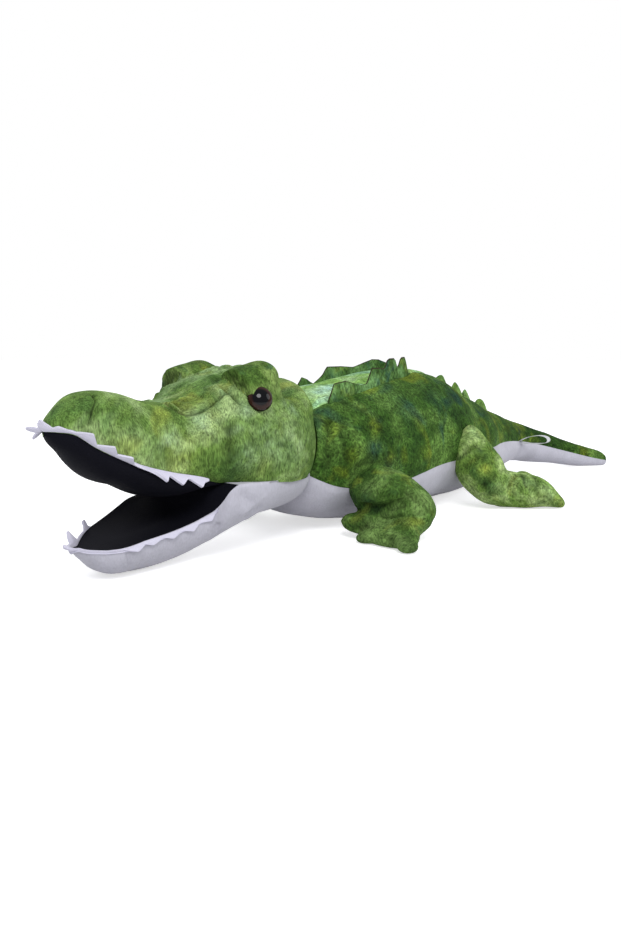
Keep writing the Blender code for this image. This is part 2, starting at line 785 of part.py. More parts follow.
def build_brow(side_name, side, parts, head_guide, eye_room):
    centre = place_on_head(BROW_PLACE_SHARES, side)
    stations = []
    for along, outward, up, breadth, height in BROW_SHARES:
        stations.append((along * BROW_HALF_LENGTH / BROW_RADIUS, outward, up, breadth, height))
    made = tube("brow_" + side_name, stations, BROW_RADIUS, centre, side, 0, parts)
    made.data.materials.append(material("brow_" + side_name, LIGHT_GREEN, PLUSH_ROUGHNESS))
    made.data.shade_smooth()
    boolean(made, head_guide)
    boolean(made, eye_room)


def turned(name, profile, frame, sides, group):
    """A closed round piece from a profile of radius and height, set in the given frame."""
    bm = bmesh.new()
    rings = []
    for radius, height in profile:
        if radius == 0:
            rings.append([bm.verts.new(frame @ Vector((0, 0, height)))])
            continue
        ring = []
        for step in range(sides):
            angle = math.tau * step / sides
            point = Vector((radius * math.cos(angle), radius * math.sin(angle), height))
            ring.append(bm.verts.new(frame @ point))
        rings.append(ring)
    for lower, upper in zip(rings, rings[1:]):
        for step in range(sides):
            after = (step + 1) % sides
            if len(lower) == 1:
                bm.faces.new((lower[0], upper[step], upper[after]))
            elif len(upper) == 1:
                bm.faces.new((lower[step], upper[0], lower[after]))
            else:
                bm.faces.new((lower[step], upper[step], upper[after], lower[after]))
    return add_object(name, mesh_from(bm, name), group)


def eye_frame(side, form):
    """The eye's own frame: where its line of sight leaves the cheek, square to the skin."""
    tilt = math.radians(EYE_TILT_DEGREES)
    turn = math.radians(EYE_TURN_DEGREES)
    axis = Vector((-math.sin(turn) * math.cos(tilt), side * math.cos(turn) * math.cos(tilt),
                   math.sin(tilt)))
    bm = bmesh.new()
    bm.from_mesh(form)
    skin = BVHTree.FromBMesh(bm)
    bm.free()
    middle = place_on_head(EYE_PLACE_SHARES, side)
    place, square, _, _ = skin.ray_cast(middle + axis * OVERRUN, -axis)
    return Matrix.Translation(place) @ square.to_track_quat("Z", "Y").to_matrix().to_4x4()


def dome_profile(radius, height):
    profile = []
    for step in range(DOME_STEPS):
        angle = math.pi / 2 * step / DOME_STEPS
        profile.append((radius * math.cos(angle), height * math.sin(angle)))
    return profile + [(0, height)]


def build_eye(side_name, side, form, parts, cutters):
    """A safety eye: a dome, its shank through the skin, and a washer pressed on inside."""
    frame = eye_frame(side, form)
    radius = EYE_DIAMETER / 2
    foot = -SHANK_LENGTH
    shank = [(0, foot), (SHANK_RADIUS, foot), (SHANK_RADIUS, 0)]
    eye = turned("eye_" + side_name, shank + dome_profile(radius, EYE_DOME_HEIGHT), frame,
                 EYE_SIDES, parts)
    eye.data.materials.append(material("eye_" + side_name, EYE_BROWN, EYE_ROUGHNESS))
    eye.data.shade_smooth()
    hole = SHANK_RADIUS + GAP / 2
    top = -FABRIC * 2 - GAP
    bottom = top - WASHER_THICKNESS
    washer = turned("eye_washer_" + side_name,
                    [(hole, top), (hole, bottom), (WASHER_RADIUS, bottom), (WASHER_RADIUS, top),
                     (hole, top)], frame, EYE_SIDES, parts)
    bm = bmesh.new()
    bm.from_mesh(washer.data)
    bmesh.ops.remove_doubles(bm, verts=bm.verts, dist=MERGE_DISTANCE)
    bmesh.ops.recalc_face_normals(bm, faces=bm.faces)
    bm.to_mesh(washer.data)
    bm.free()
    washer.data.materials.append(material("eye_washer_" + side_name, WASHER_WHITE,
                                          WASHER_ROUGHNESS))
    room = SHANK_RADIUS + GAP
    shank_seat = turned("shank_seat_" + side_name, [(0, foot - GAP), (room, foot - GAP),
                                                    (room, OVERRUN), (0, OVERRUN)],
                        frame, EYE_SIDES, cutters)
    wide = WASHER_RADIUS + GAP
    washer_seat = turned("washer_seat_" + side_name,
                         [(0, foot - GAP), (room, foot - GAP), (room, bottom - GAP),
                          (wide, bottom - GAP), (wide, OVERRUN), (0, OVERRUN)], frame,
                         EYE_SIDES, cutters)
    clear = radius + GAP * 2
    eye_room = turned("eye_room_" + side_name,
                      [(0, -GAP), (clear, -GAP), (clear, OVERRUN), (0, OVERRUN)], frame,
                      EYE_SIDES, cutters)
    for item in (shank_seat, washer_seat, eye_room):
        hide_as_cutter(item)
    return shank_seat, washer_seat, eye_room


def build_leg(name, limb, centre, side, parts, cutters, floor):
    """A sewn skin with an opening towards the body, round the leg's own stuffing."""
    outer = leg_form(name + "_outer", limb, centre, side, 0, cutters, True)
    inner = leg_form(name + "_inner", limb, centre, side, FABRIC, cutters, False)
    core = leg_form(name + "_core", limb, centre, side, LEG_DEPTH, cutters, False)
    hollow = hide_as_cutter(add_object(name + "_hollow", inner, cutters))
    unit = limb[-1]
    half = OPENING_HALF_SHARE * unit
    near = centre.y - side * OPENING_SHARE * unit
    far = centre.y - side * OPENING_REACH_SHARE * unit
    opening = hide_as_cutter(box(name + "_opening",
                                 (centre.x - half, min(near, far), centre.z - half),
                                 (centre.x + half, max(near, far), centre.z + half), cutters))
    skin = add_object(name + "_skin", outer, parts, GREEN)
    for cutter in (hollow, opening, floor):
        boolean(skin, cutter)
    add_object(name + "_stuffing", core, parts, STUFFING)


def build_label(parts, form):
    """A blank woven loop, folded double and caught in the tail's left side seam."""
    line = seam_line(form, 1, {3}, BODY_FRONT_X, BODY_FRONT_X + BODY_LENGTH)
    index = min(range(len(line) - 1), key=lambda number: abs(line[number][0].x - LABEL_X))
    start, normal = line[index]
    along = (line[index + 1][0] - start).normalized()
    out = (normal - along * normal.dot(along)).normalized()
    bm = bmesh.new()
    rows = []
    for step in range(LABEL_STEPS + 1):
        share = step / LABEL_STEPS
        reach = out * (GAP * 2 + LABEL_LENGTH * share * (1 - LABEL_LEAN_SHARE * share))
        lean = along * LABEL_LENGTH * LABEL_LEAN_SHARE * share ** 2
        left = bm.verts.new(start + reach + lean)
        right = bm.verts.new(start + reach + lean + along * LABEL_WIDTH)
        rows.append((left, right))
    for (a, b), (c, d) in zip(rows, rows[1:]):
        bm.faces.new((a, b, d, c))
    label = add_object("tail_label", mesh_from(bm, "tail_label"), parts, FELT_WHITE)
    solid = label.modifiers.new("weave", "SOLIDIFY")
    solid.thickness = LABEL_THICKNESS
    solid.offset = 0


def main():
    clear_scene()
    parts = collection("plush_crocodile")
    cutters = collection("cutters")

    floor = hide_as_cutter(box("floor_cutter",
                               (-BODY_LENGTH, -BODY_LENGTH / 2, -OVERRUN),
                               (BODY_LENGTH, BODY_LENGTH / 2, 0), cutters))
    body, body_coarse = body_form(cutters)
    head = head_form(cutters)
    jaw = jaw_form("jaw_form", 0, cutters)

    ball_centre = Vector((HEAD_BALL_X, 0, HEAD_BALL_Z))
    neck_seat = hide_as_cutter(ball("neck_seat", ball_centre,
                                    seat_radius(HEAD_BALL_RADIUS, BALL_SIDES), BALL_SIDES,
                                    cutters))
    room = seat_radius(JAW_ROOT_RADIUS, ROOT_SIDES)
    reach = JAW_HALF_WIDTH + OVERRUN
    root_profile = [(0, -reach), (room, -reach), (room, reach), (0, reach)]
    hinge_frame = (Matrix.Translation((JAW_HINGE_X, 0, JAW_HINGE_Z))
                   @ Matrix.Rotation(math.pi / 2, 4, "X"))
    root_seat = hide_as_cutter(turned("jaw_root_seat", root_profile, hinge_frame, ROOT_SIDES,
                                      cutters))

    front_limb = (SHOULDER_OUTLINE_SHARES, (ARM_SHARES, HAND_SHARES), FRONT_TOE_SHARES,
                  SHOULDER_RADIUS)
    hind_limb = (HIP_OUTLINE_SHARES, (FOOT_SHARES,), HIND_TOE_SHARES, HIP_RADIUS)
    widen = 1 / math.cos(math.pi / LEG_ROOT_SIDES)
    legs = []
    leg_seats = []
    for side_name, side in (("left", -1), ("right", 1)):
        for limb_name, limb, centre in (
                ("front_leg", front_limb, Vector((SHOULDER_X, side * SHOULDER_Y, SHOULDER_Z))),
                ("hind_leg", hind_limb, Vector((HIP_X, side * HIP_Y, HIP_Z)))):
            legs.append((f"{limb_name}_{side_name}", limb, centre, side))
            seat = leg_root(f"{limb_name}_seat_{side_name}", limb[0], limb[-1], centre, GAP,
                            cutters, widen)
            leg_seats.append((side, hide_as_cutter(seat)))

    build_body(parts, body, body_coarse, neck_seat, leg_seats, floor)
    build_scutes(parts, body)
    build_label(parts, body)

    head_guide = hide_as_cutter(add_object("head_guide", shrunk(head, -GAP * 2), cutters))

    eyes = []
    for side_name, side in (("left", -1), ("right", 1)):
        seats = build_eye(side_name, side, head, parts, cutters)
        eyes.append(seats)
        build_brow(side_name, side, parts, head_guide, seats[-1])
    build_head(parts, head, root_seat, eyes)
    build_jaw(parts, jaw, jaw_form("jaw_core", LOOSE_DEPTH, cutters), floor)

    corner_x = HEAD_BALL_X - SNOUT_REACH + SNOUT_REACH * HEAD_STATION_SHARES[5][0]
    upper_lip = seam_line(head, 5, {0, 2, 3}, -BODY_LENGTH, corner_x)
    build_teeth("upper_teeth", upper_lip, UPPER_TOOTH_PITCH, parts)
    jaw_end_x = JAW_HINGE_X - JAW_REACH + JAW_REACH * JAW_STATION_SHARES[5][0]
    lower_lip = seam_line(jaw, 1, {0}, -BODY_LENGTH, jaw_end_x)
    build_teeth("lower_teeth", lower_lip, LOWER_TOOTH_PITCH, parts)

    for name, limb, centre, side in legs:
        build_leg(name, limb, centre, side, parts, cutters, floor)


main()
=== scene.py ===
import math
import bpy
import numpy as np
from mathutils import Matrix, Vector, noise


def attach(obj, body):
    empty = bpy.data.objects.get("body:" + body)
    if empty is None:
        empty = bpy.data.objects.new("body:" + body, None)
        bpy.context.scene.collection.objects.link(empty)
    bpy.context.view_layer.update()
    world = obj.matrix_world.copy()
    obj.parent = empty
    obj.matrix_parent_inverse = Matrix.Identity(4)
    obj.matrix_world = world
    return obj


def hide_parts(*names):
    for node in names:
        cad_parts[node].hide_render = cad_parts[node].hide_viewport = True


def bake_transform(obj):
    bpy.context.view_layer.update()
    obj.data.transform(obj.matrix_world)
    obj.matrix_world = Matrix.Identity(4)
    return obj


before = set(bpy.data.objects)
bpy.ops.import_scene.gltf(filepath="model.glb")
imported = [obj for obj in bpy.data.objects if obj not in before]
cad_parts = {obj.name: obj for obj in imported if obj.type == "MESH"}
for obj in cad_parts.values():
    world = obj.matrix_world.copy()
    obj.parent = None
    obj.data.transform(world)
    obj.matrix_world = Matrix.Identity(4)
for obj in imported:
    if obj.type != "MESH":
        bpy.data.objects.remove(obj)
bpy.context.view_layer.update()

# Trunk and tail: a long sewn bag of printed green plush with a white belly, stuffed with fibre.
# The light panel along the back, the two side panels and the belly meet in four long seams
# that the stuffing draws tight.
FULLNESS = 2.2                # 2 is an ellipse, more is boxier
TRUNK_WIDEST = 0.42
TRUNK_RINGS = 260
TRUNK_PARTS = (14, 22, 24)    # faces from the back's middle to the row, the side seam, the belly's middle
TRUNK_FRONT_X = -0.180
TRUNK_LENGTH = 0.720
TRUNK_HEIGHT = 0.170
TRUNK_HALF_WIDTH = 0.090
TAIL_SWING = -0.094
BACK_PANEL_END_X = 0.100
HEAD_BALL = np.array((-0.215, 0.0, 0.102))
HEAD_BALL_RADIUS = 0.074
HEAD_SEAT_GAP = 0.0012
# Along, sideways, bottom, top, half width, side seam and scute row
TRUNK_ROWS = (
    (0.000, 0.00, 0.360, 0.500, 0.20, 0.440, 0.50),
    (0.012, 0.00, 0.200, 0.700, 0.56, 0.380, 0.50),
    (0.035, 0.00, 0.110, 0.790, 0.74, 0.320, 0.50),
    (0.100, 0.00, 0.040, 0.870, 0.95, 0.270, 0.48),
    (0.185, 0.00, 0.000, 0.915, 1.00, 0.292, 0.44),
    (0.285, 0.00, 0.000, 0.965, 1.00, 0.330, 0.38),
    (0.365, 0.00, 0.000, 0.958, 0.97, 0.340, 0.26),
    (0.410, 0.00, 0.002, 0.905, 0.94, 0.342, 0.21),
    (0.445, 0.00, 0.004, 0.832, 0.89, 0.344, 0.20),
    (0.485, 0.00, 0.009, 0.770, 0.82, 0.345, 0.20),
    (0.545, 0.00, 0.030, 0.718, 0.71, 0.345, 0.20),
    (0.600, 0.00, 0.052, 0.645, 0.60, 0.345, 0.20),
    (0.660, 0.00, 0.082, 0.580, 0.505, 0.332, 0.20),
    (0.730, 0.01, 0.102, 0.503, 0.405, 0.300, 0.22),
    (0.790, 0.06, 0.092, 0.442, 0.33, 0.262, 0.26),
    (0.870, 0.34, 0.048, 0.315, 0.23, 0.180, 0.32),
    (0.945, 0.71, 0.000, 0.180, 0.15, 0.090, 0.42),
    (0.990, 0.95, 0.004, 0.104, 0.09, 0.048, 0.50),
)


def deselect():
    bpy.ops.object.select_all(action="DESELECT")


def stuffed_ball(name, rings, around):
    """A ball that is shaped into a stuffed form, and each corner's ring and turn on it."""
    deselect()
    bpy.ops.mesh.primitive_uv_sphere_add(segments=around, ring_count=rings, radius=1)
    piece = bpy.context.object
    piece.name = name
    piece.data.name = name
    at = places(piece)
    ring = np.rint(np.arccos(np.clip(at[:, 2], -1, 1)) / math.pi * rings).astype(int)
    turn = np.rint(np.arctan2(at[:, 1], at[:, 0]) / math.tau * around).astype(int) % around
    return piece, ring, turn


def places(piece):
    at = np.empty(len(piece.data.vertices) * 3)
    piece.data.vertices.foreach_get("co", at)
    return at.reshape(-1, 3)


def normals(piece):
    out = np.empty(len(piece.data.vertices) * 3)
    piece.data.vertices.foreach_get("normal", out)
    return out.reshape(-1, 3)


def put(piece, at):
    piece.data.vertices.foreach_set("co", np.ascontiguousarray(at, dtype=np.float64).ravel())
    piece.data.update()


def read_off(rows, count, round_ends=True):
    """A table's rows through smooth curves, at evenly spaced places along it.

    The first column is the way along and the next two are half sizes that a round end starts from.
    """
    rows = np.array(rows, float)
    if round_ends:
        first, last = rows[0].copy(), rows[-1].copy()
        first[0] -= 0.75 * min(first[1], first[2])
        last[0] += 0.75 * min(last[1], last[2])
        first[1:3] = 0
        last[1:3] = 0
        rows = np.vstack([first, rows, last])
    steps = np.maximum(np.linalg.norm(np.diff(rows[:, :3], axis=0), axis=1), 1e-6)
    at = np.concatenate([[0], np.cumsum(steps)])
    rise = np.diff(rows, axis=0) / steps[:, None]
    slopes = np.zeros_like(rows)
    before, after = steps[:-1, None], steps[1:, None]
    slopes[1:-1] = (after * rise[:-1] + before * rise[1:]) / (before + after)
    slopes[0, 1:3] = rise[0, 1:3] * 1.5
    slopes[-1, 1:3] = rise[-1, 1:3] * 1.5
    where = np.linspace(0, at[-1], count + 1)
    index = np.clip(np.searchsorted(at, where, "right") - 1, 0, len(steps) - 1)
    t = ((where - at[index]) / steps[index])[:, None]
    h = steps[index][:, None]
    start, end = rows[index], rows[index + 1]
    return ((2 * t**3 - 3 * t**2 + 1) * start + (t**3 - 2 * t**2 + t) * h * slopes[index]
            + (3 * t**2 - 2 * t**3) * end + (t**3 - t**2) * h * slopes[index + 1])


def seam_turn(seam, widest):
    """The turn from the top at which a stuffed section passes a height, both as shares."""
    high = np.clip((seam - widest) / (1 - widest), 0, 1)
    low = np.clip((widest - seam) / widest, 0, 1)
    upper = np.arccos(high ** (FULLNESS / 2))
    lower = math.pi - np.arccos(low ** (FULLNESS / 2))
    return np.where(seam >= widest, upper, lower)


def row_turn(row):
    """The turn from the top at which a section has come out by a share of its half width."""
    return np.arcsin(np.clip(row, 0, 0.99) ** (FULLNESS / 2))


def section(turn, half_width, bottom, top, widest):
    """Across and height on a stuffed section, for turns from its top to its bottom."""
    middle = bottom + widest * (top - bottom)
    power = 2 / FULLNESS
    rise = np.where(np.cos(turn) > 0, top - middle, bottom - middle)
    across = half_width * np.abs(np.sin(turn)) ** power
    return across, middle + rise * np.abs(np.cos(turn)) ** power


def spread(turn, parts, knots):
    """Turns of the corners of a ring whose parts lie between the knots, and each corner's side."""
    around = 2 * sum(parts)
    step = np.where(turn <= around // 2, turn, around - turn)
    side = np.where(turn <= around // 2, 1.0, -1.0)
    ends = np.concatenate([[0], np.cumsum(parts)])
    out = np.zeros(len(turn))
    for index in range(len(parts)):
        inside = (step >= ends[index]) & (step <= ends[index + 1])
        share = (step - ends[index]) / parts[index]
        value = knots[index] + (knots[index + 1] - knots[index]) * share
        out = np.where(inside, value, out)
    return out, side, step


def line_reach(at, line):
    """How far each place is from a line of points, and how far along the line, as a share."""
    line = np.array(line, float)
    steps = np.linalg.norm(np.diff(line, axis=0), axis=1)
    ends = np.concatenate([[0], np.cumsum(steps)])
    best = np.full(len(at), 9.0)
    along = np.zeros(len(at))
    for start, end, length, before in zip(line, line[1:], steps, ends):
        way = (end - start) / length
        share = np.clip((at - start) @ way, 0, length)
        far = np.linalg.norm(at - start - share[:, None] * way, axis=1)
        closer = far < best
        best = np.where(closer, far, best)
        along = np.where(closer, (before + share) / ends[-1], along)
    return best, along


def on_skin(at, out, line, step=0.003):
    """A line of points in fine steps, each moved straight out or in onto the skin."""
    line = np.array(line, float)
    way = np.concatenate([[0], np.cumsum(np.linalg.norm(np.diff(line, axis=0), axis=1))])
    fine = np.linspace(0, way[-1], int(way[-1] / step) + 2)
    line = np.stack([np.interp(fine, way, line[:, axis]) for axis in range(3)], axis=1)
    for index, spot in enumerate(line):
        near = np.argmin(((at - spot) ** 2).sum(1))
        line[index] = spot + out[near] * ((at[near] - spot) @ out[near])
    return line


def crease(piece, line, width, depth, shoulder=0.4, shade=0.6):
    """Draws the cloth in along a line, with a soft roll beside it, fading at both ends, and paints shade
    along the line for the finish to read.
    """
    at = places(piece)
    out = normals(piece)
    far, along = line_reach(at, on_skin(at, out, line))
    fade = np.clip(np.minimum(along, 1 - along) * 5, 0, 1)
    fade = fade * fade * (3 - 2 * fade)
    groove = -np.exp(-(far / width) ** 2) + shoulder * np.exp(-((far - 2.1 * width) / width) ** 2)
    put(piece, at + out * (depth * fade * groove)[:, None])
    # Painted shade: the fold value darkens the cloth along the crease, as much as the shade share asks
    mark(piece, "fold", np.exp(-(far / (width * 0.7)) ** 2) * fade * shade)


def mark(piece, name, value):
    """Keeps the larger of a corner's old and new value, for the finish to read."""
    kept = piece.data.attributes.get(name) or piece.data.attributes.new(name, "FLOAT", "POINT")
    old = np.zeros(len(value))
    kept.data.foreach_get("value", old)
    kept.data.foreach_set("value", np.maximum(old, value).astype(np.float32))


def dye(piece, name, spots):
    """Patches of the print, as places, widths and strengths, that the finish reads."""
    at = places(piece)
    for spot, wide, strength in spots:
        mark(piece, name, strength * np.exp(-(np.linalg.norm(at - np.array(spot), axis=1) / wide) ** 2))


def plump(piece, size, depth, seed):
    """Slight unevenness of the stuffing under the cloth."""
    at = places(piece)
    out = normals(piece)
    shift = Vector((seed * 3.1, seed * 1.7, seed * 5.3))
    lumps = [noise.noise(Vector(place) / size + shift) for place in at]
    put(piece, at + out * (np.array(lumps) * depth)[:, None])


def floor_rest(piece, lowest=0.0):
    """The floor presses flat what would pass it."""
    at = places(piece)
    at[:, 2] = np.where(at[:, 2] < lowest + 0.002,
                        lowest + 0.002 * np.exp((at[:, 2] - lowest - 0.002) / 0.002), at[:, 2])
    put(piece, at)


def pick_out(piece):
    deselect()
    piece.select_set(True)
    bpy.context.view_layer.objects.active = piece


def smooth(piece):
    pick_out(piece)
    bpy.ops.object.shade_smooth()


def thicken(piece, thickness):
    """Gives a sheet its thickness, half to each side."""
    pick_out(piece)
    thick = piece.modifiers.new("thick", "SOLIDIFY")
    thick.thickness = thickness
    thick.offset = 0
    bpy.ops.object.modifier_apply(modifier=thick.name)


class Weave:
    """A short way to wire a finish's nodes."""

    def __init__(self, name, roughness):
        self.material = bpy.data.materials.new(name)
        self.material.use_nodes = True
        self.tree = self.material.node_tree
        self.shader = self.tree.nodes["Principled BSDF"]
        self.shader.inputs["Roughness"].default_value = roughness
        self.place = self.tree.nodes.new("ShaderNodeTexCoord").outputs["Object"]

    def link(self, start, end):
        self.tree.links.new(start, end)

    def kept(self, name):
        """A value that the form's corners keep under this name."""
        node = self.tree.nodes.new("ShaderNodeAttribute")
        node.attribute_name = name
        return node.outputs["Fac"]

    def stretched(self, scale, source=None, shift=(0, 0, 0)):
        node = self.tree.nodes.new("ShaderNodeMapping")
        node.inputs["Scale"].default_value = scale
        node.inputs["Location"].default_value = shift
        self.link(source or self.place, node.inputs["Vector"])
        return node.outputs["Vector"]

    def noise(self, scale, detail=2.0, rough=0.5, source=None, warp=0.0):
        node = self.tree.nodes.new("ShaderNodeTexNoise")
        node.inputs["Scale"].default_value = scale
        node.inputs["Detail"].default_value = detail
        node.inputs["Roughness"].default_value = rough
        node.inputs["Distortion"].default_value = warp
        self.link(source or self.place, node.inputs["Vector"])
        return node.outputs["Fac"]

    def ramp(self, source, stops):
        node = self.tree.nodes.new("ShaderNodeValToRGB")
        ramp = node.color_ramp
        while len(ramp.elements) < len(stops):
            ramp.elements.new(0.5)
        for element, (position, colour) in zip(ramp.elements, stops):
            element.position = position
            element.color = (*colour, 1)
        self.link(source, node.inputs["Fac"])
        return node.outputs["Color"]

    def mix(self, share, first, second, way="MIX"):
        node = self.tree.nodes.new("ShaderNodeMix")
        node.data_type = "RGBA"
        node.blend_type = way
        # The colour sockets of a Mix node share their names with its number sockets
        for value, socket in ((share, node.inputs[0]), (first, node.inputs[6]), (second, node.inputs[7])):
            if isinstance(value, bpy.types.NodeSocket):
                self.link(value, socket)
            elif isinstance(value, tuple):
                socket.default_value = (*value, 1)
            else:
                socket.default_value = value
        return node.outputs[2]

    def times(self, first, second):
        return self.mix(1.0, first, second, "MULTIPLY")

    def sums(self, way, first, second):
        node = self.tree.nodes.new("ShaderNodeMath")
        node.operation = way
        for value, socket in zip((first, second), node.inputs):
            if isinstance(value, bpy.types.NodeSocket):
                self.link(value, socket)
            else:
                socket.default_value = value
        return node.outputs["Value"]

    def bump(self, height, distance, strength=1.0):
        node = self.tree.nodes.new("ShaderNodeBump")
        node.inputs["Distance"].default_value = distance
        node.inputs["Strength"].default_value = strength
        self.link(height, node.inputs["Height"])
        self.link(node.outputs["Normal"], self.shader.inputs["Normal"])


def gray(value):
    return (value, value, value)


def plush(name, deep, middle, pale, glow, shade, nap, patch, wander=1.0, net=0.0, edge=None,
          bleach=(0.30, 0.42, 0.22)):
    """Printed short pile: big tie-dyed patches, then fine strands that lie one way.

    The print goes from deep to pale, with glow and shade for its yellow and blue patches and
    bleach for its palest. Nap scales the strands, and net shows the gaps between tufts.
    """
    cloth = Weave(name, 0.85)
    cloth.shader.inputs["Sheen Weight"].default_value = 0.14
    cloth.shader.inputs["Sheen Roughness"].default_value = 0.4
    cloth.shader.inputs["Sheen Tint"].default_value = (*pale, 1)
    cloth.shader.inputs["Specular IOR Level"].default_value = 0.08
    broad = cloth.noise(patch, 3.0, 0.6, warp=0.6)
    colour = cloth.ramp(broad, [(0.30, deep), (0.47, middle), (0.60, pale)])
    apart = cloth.stretched((1, 1, 1), shift=(3, 7, 1))
    yellow = cloth.ramp(cloth.noise(patch * 1.45, 2.0, 0.5, apart, 0.8), [(0.55, gray(0)), (0.70, gray(1))])
    apart = cloth.stretched((1, 1, 1), shift=(9, 2, 5))
    blue = cloth.ramp(cloth.noise(patch * 1.3, 2.0, 0.6, apart, 0.8), [(0.57, gray(0)), (0.70, gray(1))])
    colour = cloth.mix(cloth.sums("MULTIPLY", yellow, 0.55), colour, glow)
    colour = cloth.mix(cloth.sums("MULTIPLY", blue, 0.60), colour, shade)
    ragged = cloth.ramp(cloth.noise(60, 3.0, 0.65), [(0.36, gray(0.15)), (0.62, gray(1))])
    for patches, dyed in (("dark_dye", shade), ("sunny_dye", glow), ("pale_dye", bleach)):
        colour = cloth.mix(cloth.sums("MULTIPLY", cloth.kept(patches), ragged), colour, dyed)
    wind = cloth.tree.nodes.new("ShaderNodeTexNoise")
    wind.inputs["Scale"].default_value = 45
    wind.inputs["Detail"].default_value = 1.0
    cloth.link(cloth.place, wind.inputs["Vector"])
    swept = cloth.tree.nodes.new("ShaderNodeVectorMath")
    swept.operation = "MULTIPLY_ADD"
    cloth.link(wind.outputs["Color"], swept.inputs[0])
    swept.inputs[1].default_value = gray(0.010 * wander)
    cloth.link(cloth.place, swept.inputs[2])
    strands = cloth.noise(1.0, 2.5, 0.62, cloth.stretched(nap, source=swept.outputs["Vector"]))
    tufts = cloth.noise(140, 2.0, 0.6)
    mottle = cloth.noise(75, 3.0, 0.65)
    colour = cloth.times(colour, cloth.ramp(strands, [(0.33, gray(0.48)), (0.65, gray(1.38))]))
    colour = cloth.times(colour, cloth.ramp(mottle, [(0.34, (0.68, 0.71, 0.66)), (0.64, (1.30, 1.27, 1.30))]))
    colour = cloth.times(colour, cloth.ramp(tufts, [(0.30, gray(0.78)), (0.70, gray(1.18))]))
    if net:
        cells = cloth.tree.nodes.new("ShaderNodeTexVoronoi")
        cells.feature = "DISTANCE_TO_EDGE"
        cells.inputs["Scale"].default_value = 190
        cloth.link(swept.outputs["Vector"], cells.inputs["Vector"])
        parting = cloth.ramp(cells.outputs["Distance"], [(0.0, gray(1 + net)), (0.16, gray(1 - net * 0.15))])
        colour = cloth.times(colour, parting)
    # Painted shade: darker where the fold value marks creases, seams and the brows' fronts
    colour = cloth.times(colour, cloth.ramp(cloth.kept("fold"), [(0.0, gray(1)), (1.0, gray(0.25))]))
    if edge:
        turned = cloth.ramp(cloth.kept("crest"), [(0.94, gray(0)), (0.975, gray(1))])
        colour = cloth.mix(turned, colour, edge)
    cloth.link(colour, cloth.shader.inputs["Base Color"])
    cloth.bump(cloth.sums("ADD", strands, cloth.sums("MULTIPLY", tufts, 0.8)), 0.0012)
    return cloth.material


def white_plush(name, colour):
    """Short white pile: hardly any pattern, only a fine nap and faint creasing."""
    cloth = Weave(name, 0.9)
    cloth.shader.inputs["Sheen Weight"].default_value = 0.2
    cloth.shader.inputs["Sheen Roughness"].default_value = 0.5
    cloth.shader.inputs["Specular IOR Level"].default_value = 0.1
    nap = cloth.noise(1.0, 2.0, 0.6, cloth.stretched((620, 620, 200)))
    broad = cloth.noise(26, 3.0, 0.6)
    low = tuple(value * 0.90 for value in colour)
    fine = cloth.ramp(nap, [(0.3, gray(0.93)), (0.7, gray(1.04))])
    cloth.link(cloth.times(cloth.ramp(broad, [(0.35, low), (0.62, colour)]), fine),
               cloth.shader.inputs["Base Color"])
    cloth.bump(cloth.sums("ADD", nap, cloth.sums("MULTIPLY", broad, 0.7)), 0.0006)
    return cloth.material


side_plush = plush("green_side_plush", (0.010, 0.032, 0.006), (0.034, 0.082, 0.013),
                   (0.080, 0.155, 0.032), (0.150, 0.190, 0.016), (0.008, 0.034, 0.034),
                   (460, 460, 300), 13, wander=1.6, net=0.45, bleach=(0.100, 0.190, 0.055))
back_plush = plush("light_back_plush", (0.120, 0.260, 0.050), (0.210, 0.400, 0.090),
                   (0.320, 0.500, 0.220), (0.240, 0.380, 0.080), (0.300, 0.540, 0.470),
                   (240, 620, 620), 16, bleach=(0.42, 0.66, 0.62))
belly_plush = white_plush("white_belly_plush", (0.530, 0.518, 0.590))


def trunk_table():
    rows = []
    for along, swing, bottom, top, half_width, seam, row in TRUNK_ROWS:
        rows.append((TRUNK_FRONT_X + along * TRUNK_LENGTH, (top - bottom) * TRUNK_HEIGHT / 2,
                     half_width * TRUNK_HALF_WIDTH, (top + bottom) * TRUNK_HEIGHT / 2,
                     swing * TAIL_SWING, (seam - bottom) / (top - bottom), row))
    return rows


def trunk_surface(ring, turn, parts, rows):
    """Places on the trunk's bag, before it is sewn and pressed."""
    x, high, wide, middle, sideways, seam, row = rows[ring].T
    side_turn = seam_turn(np.clip(seam, 0.02, 0.98), TRUNK_WIDEST)
    turns, side, step = spread(turn, parts, (0.0, row_turn(row), side_turn, math.pi))
    across, height = section(turns, wide, middle - high, middle + high, TRUNK_WIDEST)
    return np.stack([x, sideways + side * across, height], axis=1), step


trunk_rows = read_off(trunk_table(), TRUNK_RINGS)
trunk, trunk_ring, trunk_turn = stuffed_ball("trunk_and_tail", TRUNK_RINGS, 2 * sum(TRUNK_PARTS))
at, trunk_step = trunk_surface(trunk_ring, trunk_turn, TRUNK_PARTS, trunk_rows)
put(trunk, at)
trunk_line = TRUNK_PARTS[0], TRUNK_PARTS[0] + TRUNK_PARTS[1]

# Each seam draws the cloth in: a little wider on the back, where the scutes' felted roots are sewn in
size = np.minimum(trunk_rows[trunk_ring][:, 1], trunk_rows[trunk_ring][:, 2])
from_row = np.abs(trunk_step - trunk_line[0]) * size * 0.035
from_side = np.abs(trunk_step - trunk_line[1]) * size * 0.045
draw = 0.0016 * np.exp(-(from_row / 0.0035) ** 2) + 0.0016 * np.exp(-(from_side / 0.0032) ** 2)
put(trunk, places(trunk) - normals(trunk) * (draw * np.clip(size / 0.03, 0.2, 1))[:, None])
plump(trunk, 0.070, 0.0030, 1)
plump(trunk, 0.024, 0.0009, 2)

